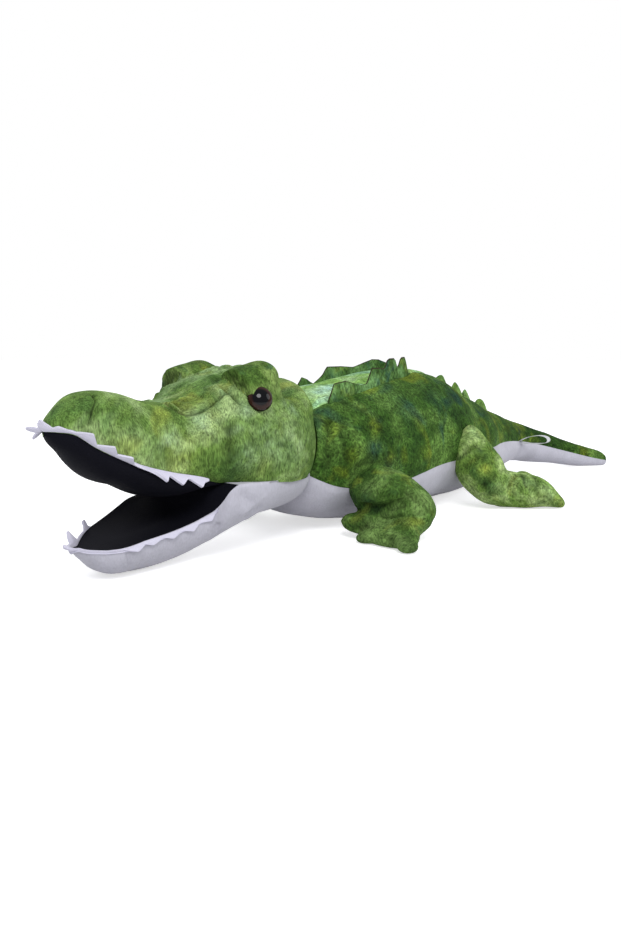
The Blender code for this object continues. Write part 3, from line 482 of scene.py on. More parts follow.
# Dark, yellow and pale patches of the print: the place, width and strength of each
TRUNK_INK = (
    ((-0.1036, -0.0855, 0.0875), 0.01, 1.0), ((-0.0797, -0.0896, 0.0679), 0.009, 0.7),
    ((-0.0258, -0.0745, 0.124), 0.016, 0.6), ((-0.1421, -0.0435, 0.1272), 0.008, 0.8),
    ((0.0394, -0.0716, 0.1302), 0.02, 0.4))
TRUNK_SUN = (
    ((-0.0953, -0.0769, 0.1127), 0.009, 0.6), ((-0.082, -0.0897, 0.0767), 0.008, 0.5),
    ((-0.1312, -0.0781, 0.084), 0.01, 0.4), ((0.2716, -0.034, 0.0904), 0.008, 0.5),
    ((0.2557, -0.0264, 0.1008), 0.007, 0.5))
TRUNK_PALE = (
    ((-0.1165, -0.0189, 0.1451), 0.008, 0.6), ((-0.102, -0.0211, 0.1472), 0.013, 1.0),
    ((-0.0859, -0.0172, 0.1501), 0.009, 0.7), ((-0.1093, -0.044, 0.1373), 0.007, 0.9),
    ((-0.1008, -0.0591, 0.1319), 0.008, 0.8), ((-0.0927, -0.0684, 0.1248), 0.007, 0.6),
    ((-0.0429, -0.0579, 0.1397), 0.018, 0.6))
dye(trunk, "dark_dye", TRUNK_INK)
dye(trunk, "sunny_dye", TRUNK_SUN)
dye(trunk, "pale_dye", TRUNK_PALE)

# Creases that the two sides share: places along each, then its width and depth
TRUNK_FOLDS = (
    (((-0.1399, 0.0462, 0.1268), (-0.1492, 0.0572, 0.1118), (-0.1544, 0.0624, 0.0953),
      (-0.1559, 0.0649, 0.0784), (-0.1562, 0.0639, 0.0621)), 0.005, 0.004),
    (((-0.129, 0.056, 0.124), (-0.137, 0.066, 0.108), (-0.14, 0.072, 0.09), (-0.139, 0.074, 0.072)), 0.006,
      0.0022),
    (((-0.1356, 0.0752, 0.0585), (-0.129, 0.0779, 0.0704), (-0.1168, 0.0819, 0.0745),
      (-0.0989, 0.0872, 0.0741), (-0.0766, 0.0901, 0.0654)), 0.006, 0.003),
    (((0.07, 0.08, 0.105), (0.09, 0.084, 0.09), (0.115, 0.082, 0.076), (0.135, 0.076, 0.064)), 0.006,
      0.0025),
    (((-0.1142, 0.0372, 0.1394), (-0.1096, 0.0495, 0.1355), (-0.1034, 0.0605, 0.1304),
      (-0.0921, 0.0693, 0.1238)), 0.0045, 0.002))
# Each crease also paints shade along its line
for spots, width, depth in TRUNK_FOLDS:
    for flip in (-1, 1):
        crease(trunk, np.array(spots) * (1, flip, 1), width, depth)

for slot_material in (side_plush, back_plush, belly_plush):
    trunk.data.materials.append(slot_material)

# Faces of the back panel lie between the rows, the belly's under the side seams
last_ring = int(np.argmax(trunk_rows[:, 0] > BACK_PANEL_END_X))
for face in trunk.data.polygons:
    corners = list(face.vertices)
    step = trunk_step[corners].mean()
    if step > trunk_line[1]:
        face.material_index = 2
    elif step < trunk_line[0] and trunk_ring[corners].mean() < last_ring:
        face.material_index = 1
    else:
        face.material_index = 0

# The head's round back sits in a hollow of the trunk's front
at = places(trunk)
from_ball = at - HEAD_BALL
reach = np.linalg.norm(from_ball, axis=1)
seat = HEAD_BALL_RADIUS + HEAD_SEAT_GAP
inside = reach < seat
at[inside] = HEAD_BALL + from_ball[inside] / np.maximum(reach[inside], 1e-6)[:, None] * seat
put(trunk, at)
floor_rest(trunk)
smooth(trunk)
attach(trunk, "trunk")
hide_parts("back_panel", "side_panel_left", "side_panel_right", "belly_panel", "body_stuffing")

# Head: a sewn bag with a round nose panel, cheeks, and a crown panel between the two brows,
# which are stuffed bulges of the same cloth. Its underside is the black palate, and behind the
# mouth's corner it sits on the white throat.
HEAD_WIDEST = 0.48
HEAD_RINGS = 320
HEAD_PARTS = (30, 54, 26)     # to the crown's seam, to the lip, to the palate's middle
BROW_CENTRE = (-0.247, 0.0395, 0.150)
BROW_HALF = (0.048, 0.0225, 0.0275)
BROW_ROOT = (-0.247, 0.026, 0.112)
BROW_BLEND = 0.003
BROW_CUT_BLEND = 0.004
BROW_LEAST_FACING = 0.02            # ends that a way from the root hardly faces don't cut it
# How far along from a brow's centre it may reach, and how far out and up its cloth begins
BROW_REACH, BROW_INNER_Y, BROW_LOWEST = 0.07, 0.004, 0.105
# A place on a brow's flat front and on its rear, and the way each faces
BROW_ENDS = (
    ((-0.2665, 0.0, 0.155), (-0.965, 0.0, -0.262)), ((-0.2225, 0.0, 0.165), (0.94, 0.0, 0.342)))
NOSE_LEAN = -0.0050                 # the nose is stuffed a little to one side
NOSE_LEAN_FROM = -0.385
NOSE_LEAN_OVER = 0.06
LINING_BACK_X = -0.265
MOUTH_CORNER_X = -0.289
CROWN_LOWEST = 0.13
# Way along, half height, half width, middle, lip, crown row, underside
HEAD_ROWS = (
    (-0.4485, 0.00450, 0.0070, 0.13100, 0.1295, 0.40, 0.1250),
    (-0.4440, 0.00925, 0.0115, 0.13125, 0.1290, 0.40, 0.1190),
    (-0.4340, 0.01900, 0.0180, 0.13000, 0.1270, 0.40, 0.1100),
    (-0.4180, 0.03175, 0.0270, 0.12575, 0.1155, 0.40, 0.0950),
    (-0.4000, 0.03925, 0.0345, 0.12025, 0.1055, 0.40, 0.0850),
    (-0.3800, 0.04310, 0.0385, 0.11440, 0.0965, 0.40, 0.0780),
    (-0.3477, 0.04420, 0.0410, 0.10560, 0.0865, 0.44, 0.0632),
    (-0.3145, 0.04470, 0.0490, 0.10330, 0.0785, 0.44, 0.0615),
    (-0.3000, 0.04600, 0.0550, 0.10450, 0.0740, 0.44, 0.0670),
    (-0.2861, 0.05100, 0.0625, 0.10950, 0.0705, 0.38, 0.0700),
    (-0.2506, 0.07085, 0.0710, 0.09965, 0.0690, 0.34, 0.0700),
    (-0.2150, 0.07155, 0.0745, 0.09945, 0.0665, 0.34, 0.0680),
    (-0.1850, 0.0657, 0.0675, 0.1005, 0.0665, 0.34, 0.0680),
    (-0.1640, 0.0535, 0.0530, 0.1020, 0.0700, 0.34, 0.0700),
    (-0.1500, 0.0365, 0.0360, 0.1020, 0.0760, 0.34, 0.0760),
    (-0.1430, 0.0200, 0.0200, 0.1020, 0.0880, 0.34, 0.0880),
)


def head_lip(rows):
    """The lip on each section of the head: its turn from the top, its way out and its height."""
    x, high, wide, middle, lip, row, under = rows.T
    share = np.clip((lip - middle + high) / np.maximum(2 * high, 1e-6), 0.03, 0.97)
    turn = seam_turn(share, HEAD_WIDEST)
    return turn, *section(turn, wide, middle - high, middle + high, HEAD_WIDEST)


def nose_lean(x):
    return NOSE_LEAN * np.clip((NOSE_LEAN_FROM - x) / NOSE_LEAN_OVER, 0, 1) ** 1.5


head_rows = read_off(HEAD_ROWS, HEAD_RINGS)
head, head_ring, head_turn = stuffed_ball("head", HEAD_RINGS, 2 * sum(HEAD_PARTS))
x, high, wide, middle, lip, row, under = head_rows[head_ring].T
lip_turn, lip_across, lip_height = head_lip(head_rows[head_ring])
turns, side, head_step = spread(head_turn, HEAD_PARTS, (0.0, row_turn(row), lip_turn, math.pi))
across, height = section(turns, wide, middle - high, middle + high, HEAD_WIDEST)
below = np.clip((head_step - HEAD_PARTS[0] - HEAD_PARTS[1]) / HEAD_PARTS[2], 0, 1) * math.pi / 2
across = np.where(below > 0, lip_across * np.cos(below), across)
height = np.where(below > 0, lip_height + (under - lip_height) * np.sin(below) ** 0.85, height)
put(head, np.stack([x, side * across + nose_lean(x), height], axis=1))
head_line = HEAD_PARTS[0], HEAD_PARTS[0] + HEAD_PARTS[1]

# Each brow is an ellipsoid with a flat front and rear, met by ways from a root inside the head
brow_share = np.zeros(len(head.data.vertices))
brow_front_shade = np.zeros(len(head.data.vertices))
for flip in (-1, 1):
    at = places(head)
    ends = []
    root = np.array(BROW_ROOT) * (1, flip, 1)
    centre = np.array(BROW_CENTRE) * (1, flip, 1)
    way = at - root
    far = np.linalg.norm(way, axis=1)
    way /= np.maximum(far, 1e-6)[:, None]
    half = np.array(BROW_HALF)
    inner = (root - centre) / half
    aim = way / half
    a = (aim * aim).sum(1)
    b = (aim * inner).sum(1)
    c = (inner * inner).sum() - 1
    room = b * b - a * c
    bulge = np.where(room > 0, (-b + np.sqrt(np.maximum(room, 0))) / a, 0)
    for place, face in BROW_ENDS:
        facing = way @ np.array(face)
        cut = ((np.array(place) - root) @ np.array(face)) / np.maximum(facing, BROW_LEAST_FACING)
        cut = np.where(facing > BROW_LEAST_FACING, cut, 1.0)
        blend = np.clip(0.5 + 0.5 * (bulge - cut) / BROW_CUT_BLEND, 0, 1)
        bulge = bulge * (1 - blend) + cut * blend - BROW_CUT_BLEND * blend * (1 - blend)
        ends.append(blend)
    share = np.clip(0.5 + 0.5 * (bulge - far) / BROW_BLEND, 0, 1)
    reach = far * (1 - share) + bulge * share + BROW_BLEND * share * (1 - share)
    near = (np.abs(at[:, 0] - centre[0]) < BROW_REACH) & (at[:, 1] * flip > BROW_INNER_Y)
    near &= at[:, 2] > BROW_LOWEST
    at[near] = root + way[near] * reach[near, None]
    brow_share[near] = np.maximum(brow_share[near], share[near])
    brow_front_shade[near] = np.maximum(brow_front_shade[near], share[near] * ends[0][near])
    put(head, at)
# Painted shade on each brow's flat front, kept with the creases' painted shade
mark(head, "fold", 0.75 * brow_front_shade)

head_green = plush("head_plush", (0.055, 0.115, 0.022), (0.125, 0.215, 0.046), (0.270, 0.380, 0.150),
                   (0.260, 0.310, 0.050), (0.050, 0.125, 0.032), (760, 760, 170), 14,
                   bleach=(0.300, 0.430, 0.240))
crown_green = plush("crown_plush", (0.045, 0.105, 0.020), (0.100, 0.195, 0.046), (0.210, 0.320, 0.130),
                    (0.240, 0.280, 0.050), (0.060, 0.160, 0.090), (300, 760, 760), 16)
black_lining = Weave("black_lining", 0.8)
black_lining.shader.inputs["Base Color"].default_value = (0.0040, 0.0040, 0.0070, 1)
black_lining.shader.inputs["Specular IOR Level"].default_value = 0.06
black_lining.bump(black_lining.noise(900, 2.0, 0.6), 0.0003)
HEAD_FOLDS = (
    (((-0.213, 0.06, 0.144), (-0.206, 0.05, 0.156), (-0.199, 0.035, 0.164), (-0.193, 0.015, 0.168),
      (-0.192, 0.0, 0.169)), 0.015, 0.013),
    (((-0.2737, 0.0302, 0.1615), (-0.2762, 0.0356, 0.1554), (-0.2775, 0.043, 0.1521),
      (-0.276, 0.051, 0.146), (-0.272, 0.057, 0.14)), 0.0036, 0.0044),
    (((-0.2775, 0.027, 0.158), (-0.271, 0.019, 0.166), (-0.26, 0.016, 0.173), (-0.24, 0.015, 0.177),
      (-0.215, 0.015, 0.174)), 0.004, 0.0036),
    (((-0.2212, 0.0572, 0.1583), (-0.2045, 0.0544, 0.1498), (-0.2005, 0.061, 0.1393),
      (-0.1942, 0.0646, 0.1295), (-0.1889, 0.0665, 0.1205)), 0.0036, 0.0028),
    (((-0.3194, 0.0065, 0.1466), (-0.3189, 0.0149, 0.1433), (-0.3191, 0.0227, 0.1402),
      (-0.318, 0.029, 0.136)), 0.0034, 0.0034),
    (((-0.3123, 0.0041, 0.1478), (-0.3113, 0.0134, 0.1473), (-0.3101, 0.0223, 0.1449)), 0.0028, 0.0022),
    (((-0.291, 0.0542, 0.1302), (-0.2936, 0.0575, 0.1163), (-0.2936, 0.0586, 0.1021),
      (-0.2917, 0.0566, 0.0873)), 0.008, 0.0024))
NOSE_SEAM = (
    (-0.4085, 0.0075, 0.1585), (-0.4105, 0.0184, 0.1555), (-0.411, 0.0213, 0.1528),
    (-0.4145, 0.023, 0.1495), (-0.4194, 0.0258, 0.1436), (-0.4226, 0.0264, 0.1367),
    (-0.4258, 0.0264, 0.129))
HEAD_INK = (
    ((-0.2915, -0.0551, 0.1213), 0.009, 0.5), ((-0.2931, -0.0562, 0.0992), 0.01, 0.6),
    ((-0.2868, -0.0517, 0.0772), 0.009, 0.6), ((-0.4321, -0.0148, 0.1486), 0.01, 0.5),
    ((-0.42, -0.02, 0.145), 0.024, 0.4), ((-0.382, -0.0353, 0.1316), 0.02, 0.35))
HEAD_SUN = (
    ((-0.259, -0.0683, 0.0864), 0.01, 0.5), ((-0.3014, -0.0057, 0.15), 0.014, 0.5),
    ((-0.4074, -0.0323, 0.1116), 0.012, 0.4), ((-0.3397, -0.0418, 0.0985), 0.014, 0.4))
HEAD_PALE = (
    ((-0.3116, -0.041, 0.1292), 0.012, 0.9), ((-0.3475, -0.0388, 0.1155), 0.012, 0.8),
    ((-0.2756, -0.0661, 0.0954), 0.014, 0.6), ((-0.2868, -0.0598, 0.1213), 0.008, 0.4),
    ((-0.216, -0.0658, 0.1395), 0.01, 0.8), ((-0.2742, -0.0594, 0.1401), 0.01, 0.8),
    ((-0.25, -0.07, 0.108), 0.026, 0.45), ((-0.22, -0.074, 0.105), 0.026, 0.35))
dye(head, "dark_dye", HEAD_INK)
dye(head, "sunny_dye", HEAD_SUN)
dye(head, "pale_dye", HEAD_PALE)
CROWN_SEAM = (
    (-0.33, 0.0, 0.147), (-0.3279, 0.0131, 0.1447), (-0.3284, 0.0212, 0.1416), (-0.326, 0.0273, 0.1382),
    (-0.3206, 0.0317, 0.1359), (-0.3118, 0.0339, 0.1367), (-0.3022, 0.0357, 0.1398),
    (-0.2935, 0.0384, 0.1452), (-0.2865, 0.0416, 0.1499), (-0.2786, 0.0417, 0.1549),
    (-0.2742, 0.0412, 0.1592))
# Each crease and seam also paints shade along its line, darkest on the nose's seam
for flip in (-1, 1):
    for spots, width, depth in HEAD_FOLDS:
        crease(head, np.array(spots) * (1, flip, 1), width, depth)
    crease(head, np.array(CROWN_SEAM) * (1, flip, 1), 0.0022, 0.0022, shade=0.8)
    crease(head, np.array(NOSE_SEAM) * (1, flip, 1), 0.0017, 0.0020, shade=1.0)


def crown_reach(x):
    """How far to each side the crown panel goes, at a place along the head."""
    seam = sorted(spot[:2] for spot in CROWN_SEAM) + [(-0.24, 0.036), (-0.16, 0.010)]
    return np.interp(x, [spot[0] for spot in seam], [spot[1] for spot in seam], left=-1)


brow_green = plush("brow_plush", (0.028, 0.070, 0.012), (0.080, 0.150, 0.028), (0.170, 0.260, 0.070),
                   (0.200, 0.240, 0.040), (0.040, 0.120, 0.060), (620, 620, 260), 24)
for slot_material in (head_green, crown_green, black_lining.material, brow_green):
    head.data.materials.append(slot_material)
for face in head.data.polygons:
    corners = list(face.vertices)
    step = head_step[corners].mean()
    past_corner = face.center.x > MOUTH_CORNER_X
    if step > head_line[1] + past_corner and face.center.x < LINING_BACK_X:
        face.material_index = 2
    elif brow_share[corners].mean() > 0.6:
        face.material_index = 3
    elif abs(face.center.y) < crown_reach(face.center.x) and face.center.z > CROWN_LOWEST:
        face.material_index = 1
    else:
        face.material_index = 0
size = np.minimum(head_rows[head_ring][:, 1], head_rows[head_ring][:, 2])
from_lip = np.abs(head_step - head_line[1]) * size * 0.04
draw = 0.0012 * np.exp(-(from_lip / 0.003) ** 2)
put(head, places(head) - normals(head) * draw[:, None])
plump(head, 0.060, 0.0022, 3)
plump(head, 0.022, 0.0007, 4)
smooth(head)
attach(head, "head")
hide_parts("nose_panel", "crown_panel", "cheek_panel_left", "cheek_panel_right",
            "palate_lining", "head_stuffing", "brow_left", "brow_right")

# Lower jaw and throat: one bag of white plush that runs from the jaw's tip under the cheeks to
# the neck, lined with black cloth inside the mouth.
JAW_RINGS = 190
JAW_PARTS = (20, 34)          # to the lip, to the middle of the underside
# Way along, half height, half width, middle
JAW_ROWS = (
    (-0.4265, 0.0030, 0.0055, 0.0293),
    (-0.4220, 0.0048, 0.0118, 0.0267),
    (-0.4160, 0.0072, 0.0165, 0.0238),
    (-0.4090, 0.0103, 0.0206, 0.0203),
    (-0.4023, 0.0128, 0.0262, 0.0188),
    (-0.3945, 0.0151, 0.0312, 0.0179),
    (-0.3870, 0.0165, 0.0346, 0.0180),
    (-0.3676, 0.0186, 0.0382, 0.0186),
    (-0.3344, 0.0200, 0.0400, 0.0213),
    (-0.3110, 0.0210, 0.0420, 0.0260),
    (-0.3030, 0.0220, 0.0465, 0.0300),
    (-0.2990, 0.0253, 0.0530, 0.0353),
    (-0.2960, 0.0297, 0.0590, 0.0409),
    (-0.2900, 0.0312, 0.0620, 0.0447),
    (-0.2780, 0.0291, 0.0650, 0.0471),
    (-0.2620, 0.0262, 0.0670, 0.0490),
    (-0.2400, 0.0232, 0.0680, 0.0510),
    (-0.2150, 0.0208, 0.0670, 0.0512),
    (-0.1900, 0.0184, 0.0620, 0.0524),
    (-0.1700, 0.0140, 0.0500, 0.0570),
)
JAW_LIP = 0.86                # the lip's seam, in half heights over the middle
JAW_HOLLOW = 0.0022
JAW_TWIST = 0.0150
JAW_LEAN = -0.0060            # the tip is stuffed a little to the near side
JAW_LINING_BACK_X = -0.288


def jaw_lean(x):
    return JAW_LEAN * np.clip((-0.378 - x) / 0.024, 0, 1) ** 0.9


def jaw_twist(x, y):
    """The far lip is drawn up a little, as the bag is sewn with a slight twist."""
    return JAW_TWIST * np.clip(y / 0.038, 0, 1) * np.exp(-((x + 0.324) / 0.033) ** 2)


jaw_rows = read_off(JAW_ROWS, JAW_RINGS)
jaw, jaw_ring, jaw_turn = stuffed_ball("jaw_and_throat", JAW_RINGS, 2 * sum(JAW_PARTS))
x, high, wide, middle = jaw_rows[jaw_ring].T
turns, side, jaw_step = spread(jaw_turn, JAW_PARTS, (0.0, math.pi / 2, math.pi))
across = wide * np.abs(np.sin(turns)) ** (2 / FULLNESS)
seam = middle + high * JAW_LIP
top = seam - JAW_HOLLOW * np.clip((-0.298 - x) / 0.012, 0, 1)
height = np.where(turns <= math.pi / 2, seam + (top - seam) * np.abs(np.cos(turns)),
                  seam + (middle - high - seam) * np.abs(np.cos(turns)) ** (2 / FULLNESS))
raised = np.clip((height - middle + high) / np.maximum(seam - middle + high, 1e-6), 0, 1)
height += jaw_twist(x, side * across) * raised
put(jaw, np.stack([x, side * across + jaw_lean(x), height], axis=1))
# Painted shade: the belly's white plush, made about a tenth darker
shaded_jaw_plush = white_plush("shaded_white_jaw_plush", (0.480, 0.470, 0.535))
for slot_material in (shaded_jaw_plush, black_lining.material):
    jaw.data.materials.append(slot_material)
for face in jaw.data.polygons:
    lining = jaw_step[list(face.vertices)].mean() < JAW_PARTS[0]
    face.material_index = 1 if lining and face.center.x < JAW_LINING_BACK_X else 0
plump(jaw, 0.060, 0.0018, 5)
# Creases, each with how much painted shade darkens it
JAW_FOLDS = (
    (((-0.3958, 0.035, 0.0288), (-0.3944, 0.0338, 0.0224), (-0.3899, 0.0287, 0.0129)), 0.0014, 0.0012,
      0.25),
    (((-0.3009, 0.0483, 0.0385), (-0.2996, 0.0457, 0.0306), (-0.299, 0.042, 0.023)), 0.004, 0.0018, 0.12),
    (((-0.2535, 0.0594, 0.0474), (-0.2648, 0.057, 0.0431), (-0.2718, 0.0507, 0.0359)), 0.005, 0.0022,
      0.12),
    (((-0.2889, 0.0621, 0.0658), (-0.2794, 0.063, 0.0572), (-0.2645, 0.0617, 0.0502)), 0.005, 0.0018, 0.1))
for spots, width, depth, crease_shade in JAW_FOLDS:
    for flip in (-1, 1):
        crease(jaw, np.array(spots) * (1, flip, 1), width, depth, shade=crease_shade)
floor_rest(jaw)
smooth(jaw)
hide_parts("jaw_panel", "jaw_lining", "jaw_stuffing", "throat_panel")
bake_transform(jaw)

# Teeth: two strips of white felt, each with a row of points cut along one edge, sewn into the
# seam of a lip. The upper strip hangs at the back of the mouth and is folded outward in front.
# The lower one stands up on the far side and is folded down over the white on the near side.
FELT_THICKNESS = 0.0019
UPPER_BAND = 0.0019
LOWER_BAND = 0.0014
FELT_STEP = 0.0008
FELT_SUNK = 0.0022
FELT_FOLD_SINK = 0.0013       # a folded strip starts this much lower
FELT_STANDOFF = 0.0004
UPPER_BACK = -0.3070
LOWER_BACK = -0.3010
# Each tooth from the near corner round to the far one: its place from above, its height, its
# foot before and after the place along the lip, and its turn from hanging or standing to out
UPPER_TEETH = (
    (-0.3165, -0.043, 0.0062, 0.005, 0.0125, 8), (-0.3372, -0.0398, 0.0064, 0.0065, 0.0125, 6),
    (-0.3535, -0.0378, 0.0062, 0.004, 0.019, 10), (-0.3905, -0.0355, 0.0062, 0.0045, 0.015, 106),
    (-0.406, -0.0326, 0.0086, 0.0045, 0.015, 116), (-0.4218, -0.0272, 0.0094, 0.005, 0.015, 124),
    (-0.444, -0.0162, 0.0034, 0.008, 0.006, 128), (-0.4514, -0.006, 0.0082, 0.01, 0.003, 148),
    (-0.4505, -0.0015, 0.01, 0.0032, 0.0032, 92), (-0.444, 0.007, 0.008, 0.004, 0.004, 34),
    (-0.424, 0.0208, 0.008, 0.01, 0.008, 118), (-0.401, 0.0322, 0.0085, 0.0165, 0.0035, 118),
    (-0.3805, 0.0365, 0.008, 0.015, 0.0035, 112), (-0.362, 0.0374, 0.008, 0.015, 0.004, 60),
    (-0.342, 0.039, 0.0082, 0.013, 0.0055, 20), (-0.323, 0.0417, 0.008, 0.0125, 0.005, 8))
LOWER_TEETH = (
    (-0.3055, -0.045, 0.0042, 0.005, 0.0125, 146), (-0.326, -0.0401, 0.0042, 0.0085, 0.0105, 148),
    (-0.349, -0.0393, 0.0032, 0.0105, 0.009, 148), (-0.3705, -0.0383, 0.003, 0.011, 0.008, 148),
    (-0.3875, -0.037, 0.0038, 0.009, 0.011, 138), (-0.404, -0.03, 0.0002, 0.005, 0.005, 92),
    (-0.425, -0.015, 0.0002, 0.003, 0.003, 90), (-0.429, -0.0075, 0.0118, 0.0046, 0.0042, 42),
    (-0.424, 0.002, 0.0002, 0.003, 0.003, 60), (-0.412, 0.012, 0.0118, 0.0055, 0.011, 12),
    (-0.379, 0.036, 0.008, 0.0065, 0.0075, 12), (-0.372, 0.0375, 0.0002, 0.003, 0.003, 150),
    (-0.362, 0.0388, 0.008, 0.009, 0.009, 150), (-0.343, 0.0396, 0.0076, 0.0095, 0.01, 152),
    (-0.3225, 0.0401, 0.0074, 0.01, 0.008, 152), (-0.305, 0.045, 0.0074, 0.01, 0.005, 150))


def felt_plush(name, colour):
    cloth = Weave(name, 0.95)
    cloth.shader.inputs["Sheen Weight"].default_value = 0.15
    cloth.shader.inputs["Specular IOR Level"].default_value = 0.1
    fibres = cloth.noise(1500, 3.0, 0.7)
    low = tuple(value * 0.86 for value in colour)
    cloth.link(cloth.ramp(fibres, [(0.30, low), (0.65, colour)]), cloth.shader.inputs["Base Color"])
    cloth.bump(fibres, 0.0003)
    return cloth.material


def lip_line(x, across, height, lean, back):
    """A lip from the near corner of the mouth round its tip to the far corner, at even steps."""
    keep = x < back
    near = np.stack([x, lean - across, height], axis=1)[keep][::-1]
    far = np.stack([x, lean + across, height], axis=1)[keep]
    line = np.vstack([near, far[1:]])
    way = np.concatenate([[0], np.cumsum(np.linalg.norm(np.diff(line, axis=0), axis=1))])
    even = np.linspace(0, way[-1], int(way[-1] / FELT_STEP))
    line = np.stack([np.interp(even, way, line[:, axis]) for axis in range(3)], axis=1)
    tangent = np.gradient(line, axis=0)
    for _ in range(6):
        tangent[1:-1] = (tangent[:-2] + tangent[1:-1] * 2 + tangent[2:]) / 4
    out = np.stack([-tangent[:, 1], tangent[:, 0], 0 * even], axis=1)
    return line, out / np.linalg.norm(out, axis=1)[:, None], even


def felt_strip(name, line, out, even, teeth, up, band, body):
    """The strip along a lip of a skin, hanging where up is -1 and standing where it is 1."""
    roots = [even[np.argmin(np.hypot(line[:, 0] - tooth[0], line[:, 1] - tooth[1]))] for tooth in teeth]
    fold = np.interp(even, roots, [tooth[5] for tooth in teeth])
    reach = np.full(len(even), band)
    for root, (_, _, high, before, after, _) in zip(roots, teeth):
        foot = np.where(even < root, before, after)
        reach = np.maximum(reach, band + high * np.clip(1 - np.abs(even - root) / foot, 0, 0.93))
    reach *= np.clip(np.minimum(even, even[-1] - even) / 0.003, 0.2, 1)
    shares = np.array((-1.0, 0.0, 0.25, 0.5, 0.75, 1.0))
    count = len(shares)
    deselect()
    bpy.ops.mesh.primitive_grid_add(x_subdivisions=len(even) - 1, y_subdivisions=count - 1, size=2)
    strip = bpy.context.object
    strip.name = name
    at = places(strip)
    step = np.rint((at[:, 0] + 1) / 2 * (len(even) - 1)).astype(int)
    share = shares[np.rint((at[:, 1] + 1) / 2 * (count - 1)).astype(int)]
    turn = np.radians(fold)[step] + 0.25 * np.clip(share, 0, 1)
    upright = np.array((0, 0, up))
    line = line - np.outer(FELT_FOLD_SINK * np.clip((fold - 80) / 50, 0, 1), upright)
    away = np.cos(turn)[:, None] * upright + np.sin(turn)[:, None] * out[step]
    spot = line[step] + away * (share * reach[step])[:, None]
    spot[share < 0] = line[step[share < 0]] - upright * FELT_SUNK
    put(strip, spot + out[step] * FELT_STANDOFF)
    thicken(strip, FELT_THICKNESS)
    strip.data.materials.append(white_felt)
    bpy.ops.object.shade_smooth_by_angle(angle=math.radians(50))
    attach(strip, body)
    return strip


white_felt = felt_plush("white_felt_cloth", (0.640, 0.620, 0.740))
x = head_rows[:, 0]
turn, across, height = head_lip(head_rows)
line, out, even = lip_line(x, across, height, nose_lean(x), UPPER_BACK)
upper = felt_strip("upper_felt_teeth", line, out, even, UPPER_TEETH, -1, UPPER_BAND, "head")
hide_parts("upper_teeth")

x, high, wide, middle = jaw_rows.T
line, out, even = lip_line(x, wide, middle + high * JAW_LIP, jaw_lean(x), LOWER_BACK)
line[:, 2] += jaw_twist(line[:, 0], line[:, 1])
lower = felt_strip("lower_felt_teeth", line, out, even, LOWER_TEETH, 1, LOWER_BAND, "lower_jaw")
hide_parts("lower_teeth")

# Legs: four stuffed limbs of green plush. Each is sewn into the trunk's side round its thick
# root, bends at the elbow or knee, and ends in a flat paw whose toes are sewn points.
LEG_GRAIN = 0.0019
TUBE_SIDES = 28
SHOULDER = (-0.118, 0.098, 0.050)
SHOULDER_RADIUS = 0.030
HIP = (0.105, 0.099, 0.052)
HIP_RADIUS = 0.032
# Along, outward, up, half breadth, half height, in shares of the root's radius
SHOULDER_ROOT = (
    (0.0, 0.0, -0.95, 0.3, 0.3), (0.0, 0.0, -0.62, 0.78, 0.78), (0.0, 0.0, 0.0, 1.0, 1.0),
    (-0.04, 0.0, 0.4, 0.78, 0.74), (-0.1, 0.0, 0.66, 0.34, 0.34))
ARM = (
    (-0.1, 0.0, -0.06, 0.8, 0.78), (0.0, 0.5, -0.16, 0.92, 0.84), (0.2, 1.06, -0.42, 0.9, 0.74),
    (0.32, 1.62, -0.68, 0.6, 0.56))
HAND = (
    (0.26, 1.58, -0.78, 0.48, 0.48), (-0.12, 1.38, -1.06, 0.54, 0.46), (-0.7, 1.22, -1.28, 0.98, 0.36),
    (-1.25, 1.16, -1.47, 0.98, 0.19))
FRONT_TOES = (
    ((-0.7, 1.5, -1.26, 0.5, 0.3), (-1.2, 1.92, -1.42, 0.4, 0.2), (-1.6, 2.26, -1.5, 0.25, 0.13)),
    ((-0.8, 0.74, -1.34, 0.46, 0.26), (-1.22, 0.12, -1.49, 0.22, 0.16)),
    ((-0.45, 0.6, -1.16, 0.38, 0.28), (-0.8, -0.86, -1.12, 0.15, 0.14)))
HIP_ROOT = (
    (-0.44, -0.3, 1.32, 0.2, 0.2), (-0.52, -0.2, 1.02, 0.46, 0.5), (-0.62, -0.03, 0.47, 0.72, 0.8),
    (-0.6, 0.17, -0.06, 0.86, 0.92), (-0.4, 0.58, -0.66, 0.8, 0.8), (-0.1, 0.9, -0.92, 0.66, 0.66))
FOOT = (
    (-0.2, 0.72, -0.86, 0.7, 0.66), (0.3, 1.24, -0.96, 0.76, 0.68), (0.8, 2.0, -1.08, 0.68, 0.54),
    (1.1, 2.52, -1.34, 0.4, 0.28), (1.22, 2.74, -1.48, 0.2, 0.14))
HIND_TOE = (
    ((0.56, 1.56, -0.8, 0.44, 0.4), (0.92, 1.14, -0.48, 0.22, 0.2)),)

